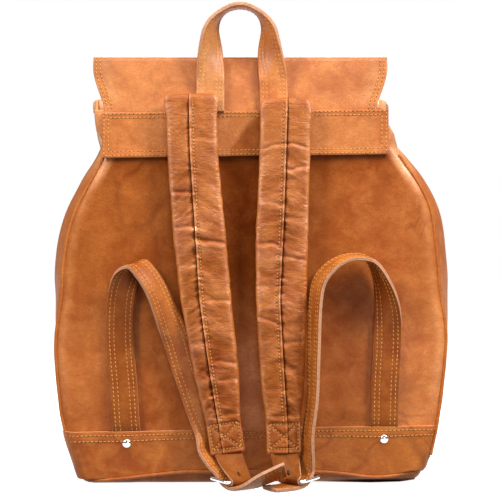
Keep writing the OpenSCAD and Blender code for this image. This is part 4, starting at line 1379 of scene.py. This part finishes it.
PAD_FOLDS = (
    # height, place across from -1 to 1, half length across, slope, width along and depth of each deep fold
    ((262, -0.55, 0.42, 0.02, 1.5, 1.9), (230, -0.5, 0.45, -0.12, 1.6, 1.6), (219, 0.42, 0.5, -0.28, 1.6, 2.1),
     (199, -0.4, 0.5, 0.15, 2.2, 0.8), (168, 0.5, 0.5, -0.2, 2.0, 1.2), (131, -0.5, 0.4, 0.05, 2.2, 0.9),
     (112, 0.5, 0.5, -0.12, 1.8, 1.6), (96, 0.5, 0.5, -0.1, 2.0, 1.2), (82, -0.4, 0.5, 0.12, 1.8, 0.8),
     (308, 0.4, 0.5, 0.1, 2.0, 0.6), (286, -0.4, 0.5, -0.1, 2.2, 0.6), (64, 0.1, 0.8, 0.0, 2.2, 0.9)),
    ((304, 0.0, 1.0, 0.04, 1.3, 1.2), (284, 0.6, 0.4, 0.1, 1.6, 1.4), (251, -0.4, 0.5, -0.1, 2.0, 0.9),
     (238, 0.5, 0.4, 0.1, 2.0, 0.9), (213, -0.5, 0.45, -0.15, 1.6, 1.3), (204, 0.45, 0.5, -0.15, 2.0, 1.2),
     (181, -0.4, 0.5, 0.2, 2.2, 0.9), (143, -0.6, 0.5, -0.3, 1.8, 1.4), (110, 0.5, 0.5, -0.5, 3.2, 1.6),
     (126, 0.5, 0.4, 0.25, 2.4, 0.9), (88, -0.3, 0.6, 0.1, 1.8, 0.6), (64, 0.1, 0.8, 0.0, 2.2, 0.9)))


def end_x(i, z):
    """The middle of the pad's sewn end at height z"""
    return -24.5 + (54 - z) * 0.15 if i == 0 else 28.5 + (54 - z) * 0.02


SEAM_STEPS = np.array([-5, -3.6, -2.6, -1.8, -1.2, -0.8, -0.5, -0.28, -0.12, 0.0, 0.1, 0.25, 0.5, 0.8, 1.2, 1.7, 2.3,
                       2.9, 3.4, 3.9, 4.6, 5.6])
BOX_TOP, BOX_LOW, BOX_REACH = 56.0, 34.0, 12.6
PAD_FOOT, END_HALF, FOLD_R = 54, 15.6, 5

for i, name in enumerate(("left", "right")):
    # the middle line: round the fold, down the back and on through the flattened, sewn end
    arc = np.radians(np.arange(127, 180, 2.4))
    fold_z = PAD_AXIS[1] - PAD_DROP[i]
    ys = list(PAD_AXIS[0] + FOLD_R * np.cos(arc))
    zs = list(fold_z + FOLD_R * np.sin(arc))
    thick = [2.6 + 0.5 * k / len(arc) for k in range(len(arc))]
    down = np.arange(fold_z - 1, 28.9, -0.95)
    ys += list(np.where(down > PAD_FOOT, pad_mid_y(np.maximum(down, PAD_FOOT)),
                        -89.2 - 0.012 * (PAD_FOOT - down)))
    zs += list(down)
    thick += list(pad_half_t(down))
    ys, zs, thick = map(np.array, (ys, zs, thick))
    for _ in range(6):
        ys[60:-1] = (ys[59:-2] + 2 * ys[60:-1] + ys[61:]) / 4
    high_z = np.maximum(zs, PAD_FOOT)
    centre = np.where(zs > PAD_FOOT, table_of(PAD_CENTRES[i], high_z), end_x(i, zs))
    for _ in range(20):
        centre[200:-1] = (centre[199:-2] + 2 * centre[200:-1] + centre[201:]) / 4
    half = table_of(PAD_HALF, high_z)
    foot = 1 - step_between(zs, 50, 84)
    half = half * (1 - foot) + END_HALF * foot
    flare = bell(zs, 350, 9) - 0.9 * bell(zs, 322, 15)
    half = half + 0.9 * flare
    thick = thick * (1 - 0.5 * (1 - step_between(zs, 50, 76)))
    line = join(centre, ys, zs)
    t = unit(np.gradient(line, axis=0))
    side = np.tile([1.0, 0, 0], (len(line), 1))
    side = unit(side - t * (side * t).sum(1, keepdims=True))
    normal = np.cross(side, t)
    away = join(0 * ys, ys - PAD_AXIS[0], np.maximum(zs - fold_z, 0))
    outward_n = normal * np.sign((normal * away).sum(1))[:, None]
    gone = np.concatenate([[0], np.cumsum(np.linalg.norm(np.diff(line, axis=0), axis=1))])
    half = half - (2.6, 4.6)[i] * (1 - np.sqrt(1 - (1 - np.clip(gone / (9.0, 13.0)[i], 0, 1)) ** 2))
    tail_end = np.clip((gone[-1] - gone) / 2.2, 0, 1)
    thick = thick * (0.35 + 0.65 * np.sqrt(1 - (1 - tail_end) ** 2))
    half = half - 0.8 * (1 - tail_end)
    lap = 1.0 if i == 0 else -1.0

    seam_x = table_of(SEAM_X[i], high_z) + np.where(zs < PAD_FOOT, end_x(i, zs) - end_x(i, PAD_FOOT), 0)
    seam_u = (seam_x - centre) / half
    u_base = np.sin(np.linspace(-math.pi / 2, math.pi / 2, 50))
    u_in = 0.999 * np.sin(np.linspace(math.pi / 2, -math.pi / 2, 20))[1:-1]
    n = len(zs)
    u_seam = seam_u[:, None] + SEAM_STEPS[None, :] * lap / half[:, None]
    u_out = np.sort(np.concatenate([np.broadcast_to(u_base, (n, 50)), u_seam], 1), 1)

    def relief(u, k):
        """Height of the pad's face at u across and row k, and its painted light: how much darker its hollows and seam
        line are, as painted shade, and how much lighter its ridges, the seam's lip and its edges are, as painted
        highlights
        """
        z, h = zs[k], half[k]
        body = np.maximum(1 - np.abs(u) ** 2.7, 0) ** 0.5
        e = (u - seam_u[k]) * h * lap
        edge = (1 - np.abs(u)) * h
        p = join(u * 23, z + 0 * u)
        drift = z + 0.34 * np.abs(e) + 3.0 * wobble(p, (15, 26), 98 + i)
        q = join(u * 23, drift)
        flat = step_between(z, 52, 66)
        seamed = 1.25 * np.exp(-np.maximum(-e, 0) / 1.1) * (e < 0) + 1.0 * bell(e, 0, 3.6) * (e < 0)
        lift = 0.7 * bell(e, 0.75, 0.85) * (e >= 0) - 0.6 * bell(e, 3.4, 1.3)
        extra = (lift - seamed) * (0.45 + 0.55 * flat)
        near_seam, near_edge = np.exp(-(np.abs(e) / 6.5)), np.exp(-(edge / 5.0))
        lively = 0.55 + 0.45 * step_between(-z, -320, -260) + 0.3 * wobble((z, 0.0), (45, 9), 96 + i)
        gather = 0.55 * wobble(q, (6.0, 2.6), 90 + i) + 0.5 * wobble(q, (9.5, 4.4), 91 + i)
        broad = 0.6 * wobble(q, (13, 8), 92 + i) + 0.55 * wobble(q, (22, 15), 93 + i)
        calm = np.maximum(1 - np.abs(u) ** 8, 0) * (0.35 + 0.65 * flat) * (np.abs(e) > 0.2)
        wrinkles = (gather * (0.35 + 1.1 * near_seam + 0.8 * near_edge) + broad) * lively * calm
        extra = extra + wrinkles
        for fz, fu, fl, slope, width, depth in PAD_FOLDS[i]:
            off = z - fz - slope * u * 23 + 2.6 * wobble(join(u * 23, fz + 0 * u), (13, 7), 99)
            off = off + 1.4 * (u - fu) ** 2
            reach = np.exp(-np.maximum(np.abs(u - fu) - fl * 0.7, 0) ** 2 / 0.05)
            extra = extra - depth * bell(off, 0, width) * reach
            extra = extra + 0.5 * depth * np.exp(-((off + 2.6 * width) / (1.9 * width)) ** 2) * reach
        if z < 62:
            x = u * h
            beyond = 9 * (z > BOX_TOP + 1) + 9 * (z < BOX_LOW - 1)
            across = np.minimum(np.abs(np.abs(x) - BOX_REACH), 9) + beyond
            level = min(abs(z - BOX_TOP), abs(z - BOX_LOW)) + np.where(np.abs(x) > BOX_REACH + 1, 9, 0)
            f = (z - BOX_LOW) / (BOX_TOP - BOX_LOW)
            cross = np.abs(np.abs(x) - abs(2 * f - 1) * BOX_REACH) * 0.85 + 9 * (f < 0) + 9 * (f > 1)
            d = np.minimum(np.minimum(across, level), cross)
            extra = extra + 0.9 - 1.5 * bell(d, 0, 1.7)
        # painted shade in the wrinkles' hollows and painted highlights on their ridges, a painted shadow line in the
        # seam, and painted highlights on the seam's lip and along the edges
        deep = np.clip(1 + 0.24 * (wrinkles - 0.1), 0.6, 1.25)
        seam_shade = np.where((e < 0.05) & (e > -0.75), 0.28, 1.0)
        edge_highlight = 0.30 + 0.16 * wobble(q, (40, 9), 95 + i)
        pale = 1 + 0.35 * bell(e, 0.8, 0.7) * (e >= 0) + edge_highlight * bell(edge, 1.6, 2.0)
        return body, extra, deep * seam_shade * pale

    rings, tones = [], []
    piece = sewn(PAD)
    for k in range(n):
        body, extra, dark = relief(u_out[k], k)
        amount = min(1.0, gone[k] / 12.0) * min(1.0, thick[k] / 3.0)
        face = body * thick[k] + extra * body ** 0.5 * amount
        under = np.maximum(1 - np.abs(u_in) ** 2.7, 0) ** 0.5
        grow = 1 + 0.014 * wobble((zs[k], 0.0), (7, 9), 97 + i)
        a = np.concatenate([u_out[k], u_in]) * half[k] * grow
        h = np.concatenate([face, -under * thick[k] * 0.92])
        # painted shade toward the pad's lower part, and on its underside, which faces the bag
        dark = dark * (1 - 0.16 * step_between(-zs[k], -200, -90))
        tones.append(np.concatenate([dark, np.full(len(u_in), 0.85)]))
        rings.append(line[k] + a[:, None] * side[k] + h[:, None] * outward_n[k])
    # round the top end off
    first = np.array(rings[0])
    mid0 = first.mean(0)
    way = unit(line[0] - line[1])
    caps = [mid0 + (first - mid0) * f + way * g for f, g in ((0.35, 1.5), (0.72, 1.2), (0.92, 0.7))]
    loft(piece, caps + rings, shade=[tones[0]] * 3 + tones)

    def on_pad(x_from_middle, z):
        """A place on the pad's face and the way out of it"""
        k = int(np.argmin(np.abs(zs - z) + (gone < 4) * 99))
        u = np.array([x_from_middle / half[k]])
        body, extra, _ = relief(u, k)
        h = body[0] * thick[k] + extra[0] * body[0] ** 0.5 * min(1.0, thick[k] / 3.0)
        return line[k] + x_from_middle * side[k] + (h + 0.1) * outward_n[k], outward_n[k]

    def sew(places, pitch):
        found = [on_pad(x, z) for x, z in places]
        stitches(piece, [f[0] for f in found], [f[1] for f in found], pitch, pitch * 0.72, 1.05)

    heights = np.arange(fold_z + 3.0, BOX_TOP + 1, -1.2)
    at_row = [int(np.argmin(np.abs(zs - z) + (gone < 4) * 99)) for z in heights]
    sew([(seam_u[k] * half[k] + 3.4 * lap, z) for k, z in zip(at_row, heights)], 3.2)
    corners = [(-BOX_REACH, BOX_TOP), (BOX_REACH, BOX_TOP), (BOX_REACH, BOX_LOW), (-BOX_REACH, BOX_LOW)]
    for (x0, z0), (x1, z1) in list(zip(corners, corners[1:] + corners[:1])) + [(corners[0], corners[2]),
                                                                              (corners[1], corners[3])]:
        sew([(x0 + (x1 - x0) * f, z0 + (z1 - z0) * f) for f in np.linspace(0, 1, 24)], 3.0)
    pad = piece.fix(f"shoulder_pad_{name}_stuffed", "leather", f"shoulder_{name}",
                    [f"shoulder_pad_{name}", f"pad_end_{name}"])

    # root: leather from the seam up and over inside the fold
    arc = np.radians(np.linspace(20, 150, 12))
    crest = PAD_AXIS[1] - PAD_DROP[i]
    path = [(ROOT_X[i], -77.2, crest - 8.7), (ROOT_X[i], -77.0, crest - 5), (ROOT_X[i], -76.6, crest - 1)]
    path += [(ROOT_X[i], PAD_AXIS[0] + 3.6 * math.cos(t), crest + 3.6 * math.sin(t)) for t in arc]
    strip = Strip(path, (1, 0, 0), 0.8)
    piece = sewn(BAND)
    strap(piece, strip, 21.5, 1.8, rows=(), middle=9, stitched=(), edge=0.6, groove=0.1, step=1.0, crown=0.05)
    obj = piece.make(f"shoulder_root_{name}_leaf", "leather")
    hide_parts(f"shoulder_root_{name}")
    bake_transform(obj)

# ---------------------------------------------------------------- adjusters and lower straps

HEELS = (np.array([-10.0, -110.0, 8.2]), np.array([34.0, -103.5, 8.2]))
TURNS = (math.radians(45), math.radians(-45))
TILT_DOWN = math.radians(6)
# painted shade: the adjuster tails are darker and less orange
TAIL_SHADE = (0.55, 0.58, 0.88)


def adjuster_frame(i):
    """Axes of the buckle that lies on the floor: x along its bars, y to its front bar, z down"""
    c, d, low = math.cos(TURNS[i]), math.sin(TURNS[i]), math.cos(TILT_DOWN)
    return Frame(HEELS[i], (-c, -d, 0), (-d * low, c * low, math.sin(TILT_DOWN)))


# places along each lower strap, from its foot to its free end, each with the way across the strap there
LOWER = (
    ((-112, -72.1, 41, 1, 0, 0), (-112.2, -72.5, 47.5, 1, 0, 0), (-112.8, -74.2, 56, 1, 0, 0),
     (-115, -74.7, 90, 1, 0, 0), (-118, -74.7, 130, 1, 0, 0), (-117, -75.2, 165, 1, 0, 0.2),
     (-112, -79, 186, 1, 0.2, 0.3), (-103, -86, 197.5, 0.7, 0.7, 0.25), (-94, -88.5, 190, 0.62, 0.75, 0.3),
     (-84.5, -88, 174.5, 0.64, 0.7, 0.3), (-75, -85, 151, 0.75, 0.55, 0.2), (-66, -79.5, 128, 1, 0.15, 0),
     (-59, -78.4, 105, 1, 0, 0), (-47.5, -78.6, 72, 1, 0.05, 0), (-39, -80.8, 47, 0.9, 0.4, 0),
     (-39, -83.8, 31, 0.6, 0.8, 0), (-30, -90.3, 19.2, 0.65, 0.75, 0), (-24, -96, 14.6, 0.7, 0.7, 0),
     (-17, -103, 5.2, 0.7, 0.7, 0), (-9, -111, 2.6, 0.7, 0.7, 0), (-1, -116, 5, 0.55, 0.8, -0.1),
     (9, -118, 10.5, 0.4, 0.85, -0.3), (19, -118, 15, 0.3, 0.83, -0.4), (29, -117, 19, 0.27, 0.82, -0.45)),
    ((119, -72.1, 43, 1, 0, 0), (119.1, -72.5, 50, 1, 0, 0), (119.3, -74.2, 59, 1, 0, 0),
     (120, -74.7, 90, 1, 0, 0), (122, -74.9, 130, 1, 0, 0), (121.5, -80, 160, 0.85, -0.45, -0.2),
     (116, -85.5, 184, 0.55, -0.8, -0.2), (105.5, -88.5, 201.5, 0.36, -0.91, -0.2),
     (91, -90.5, 204.5, 0.29, -0.95, -0.13), (78, -92.5, 201, 0.25, -0.96, -0.15),
     (67.5, -93.5, 193, 0.33, -0.93, -0.15), (59.5, -94, 181, 0.38, -0.92, -0.1),
     (56.5, -94, 160, 0.36, -0.93, 0), (55.5, -93.8, 120, 0.32, -0.95, 0), (54.5, -93.7, 80, 0.28, -0.96, 0),
     (50.6, -93, 50, 0.3, -0.95, 0), (50, -92.2, 36, 0.34, -0.94, 0), (49.4, -91.2, 24, 0.45, -0.89, 0),
     (47, -90.6, 15.5, 0.65, -0.75, 0), (41, -96.5, 5.2, 0.7, -0.7, 0), (33, -104.5, 2.6, 0.7, -0.7, 0),
     (25, -112, 2.4, 0.7, -0.7, 0), (16, -117, 2.4, 0.5, -0.9, 0)))


def inner_shade(p):
    """The lower straps are darker on their way up and over, beside the bag's sides"""
    dark = step_between(np.abs(p[:, 0]), 92, 108)
    return darker(1 - 0.2 * dark, (1.0, 1.3, 1.6))


for i, name in enumerate(("left", "right")):
    where = adjuster_frame(i)
    buckle(where, 31, 22, 3.2, f"adjuster_frame_{name}", f"shoulder_{name}", f"adjuster_buckle_{name}")
    prong(where, ((2.2, 1.0), (8, 1.6), (13, 2.0), (18, 2.3), (23.2, 2.5)), 1.2, f"adjuster_pin_{name}",
          f"adjuster_prong_{name}")

    # tail: down from the sewn end and round the heel bar
    fold_r = WIRE + 1.1
    across = np.array([math.cos(TURNS[i]), math.sin(TURNS[i]), 0])
    top = np.array([end_x(i, 29), -89.5, 30.5])
    over = HEELS[i] + np.array([0, 0, fold_r])
    away = unit(np.cross(across, [0, 0, 1.0]))
    away = away if away @ (HEELS[i] - top) > 0 else -away
    arc = [HEELS[i] + away * fold_r * math.sin(t) + np.array([0, 0, fold_r]) * math.cos(t)
           for t in np.radians((0, 30, 60, 90, 120, 150, 180))]
    drop = [top * (1 - f) + over * f + np.array([0, 0, -1.2 * math.sin(math.pi * f)])
            for f in (0, 0.2, 0.4, 0.6, 0.8)]
    back_end = [HEELS[i] - away * g + np.array([0, 0, -fold_r + 0.15]) for g in (3.0, 6.5)]
    path = np.array(drop + arc + back_end)
    f = np.clip(np.arange(len(path)) / 5.0, 0, 1)[:, None]
    sides = np.array([1.0, 0, 0])[None] * (1 - f) + across[None] * f
    strip = Strip(path, sides, step=1.0)
    piece = sewn(LOW)
    strap(piece, strip, 12.0, 2.0, rows=(), middle=9, stitched=(), edge=0.6, groove=0.15, crown=0.1)
    # the prong's slot: a dark oval in the needle-hole material, painted shade for the hole
    slot_s = float(strip.s[np.argmin(np.abs(strip.p[:, 2] - 13.5) + (strip.s > strip.length * 0.8) * 99)])
    sign = 1 if strip.up(slot_s)[1] < 0 else -1
    t = np.radians(np.arange(0, 360, 20))
    slot = strip.at(1.3 * np.cos(t), slot_s + 3.0 * np.sin(t), sign * 1.16)
    loft(piece, [slot, strip.at(0.4 * np.cos(t), slot_s + 1.2 * np.sin(t), sign * 0.7)], kind=3)
    piece.fix(f"tail_{name}_strap", "leather", f"shoulder_{name}", [f"tail_{name}"],
              lambda p: np.array([TAIL_SHADE]))

    # lower strap
    table = np.array(LOWER[i], float)
    strip = Strip(table[:, :3], table[:, 3:], step=1.5)
    piece = sewn(LOOP)
    strap(piece, strip, 12.4, 3.6, rows=(2.4, 6.4), crown=0.35, dip=0.3, groove=0.45,
          taper=lambda s: 0.3 + 0.7 * step_between(s, 4, 18), cross=(strip.length - 4.0,))
    obj = piece.make(f"lower_strap_{name}_band", "leather", inner_shade)
    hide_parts(f"lower_strap_{name}")
    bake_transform(obj)

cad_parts["base_board"].data.materials.clear()
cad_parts["base_board"].data.materials.append(BOARD)
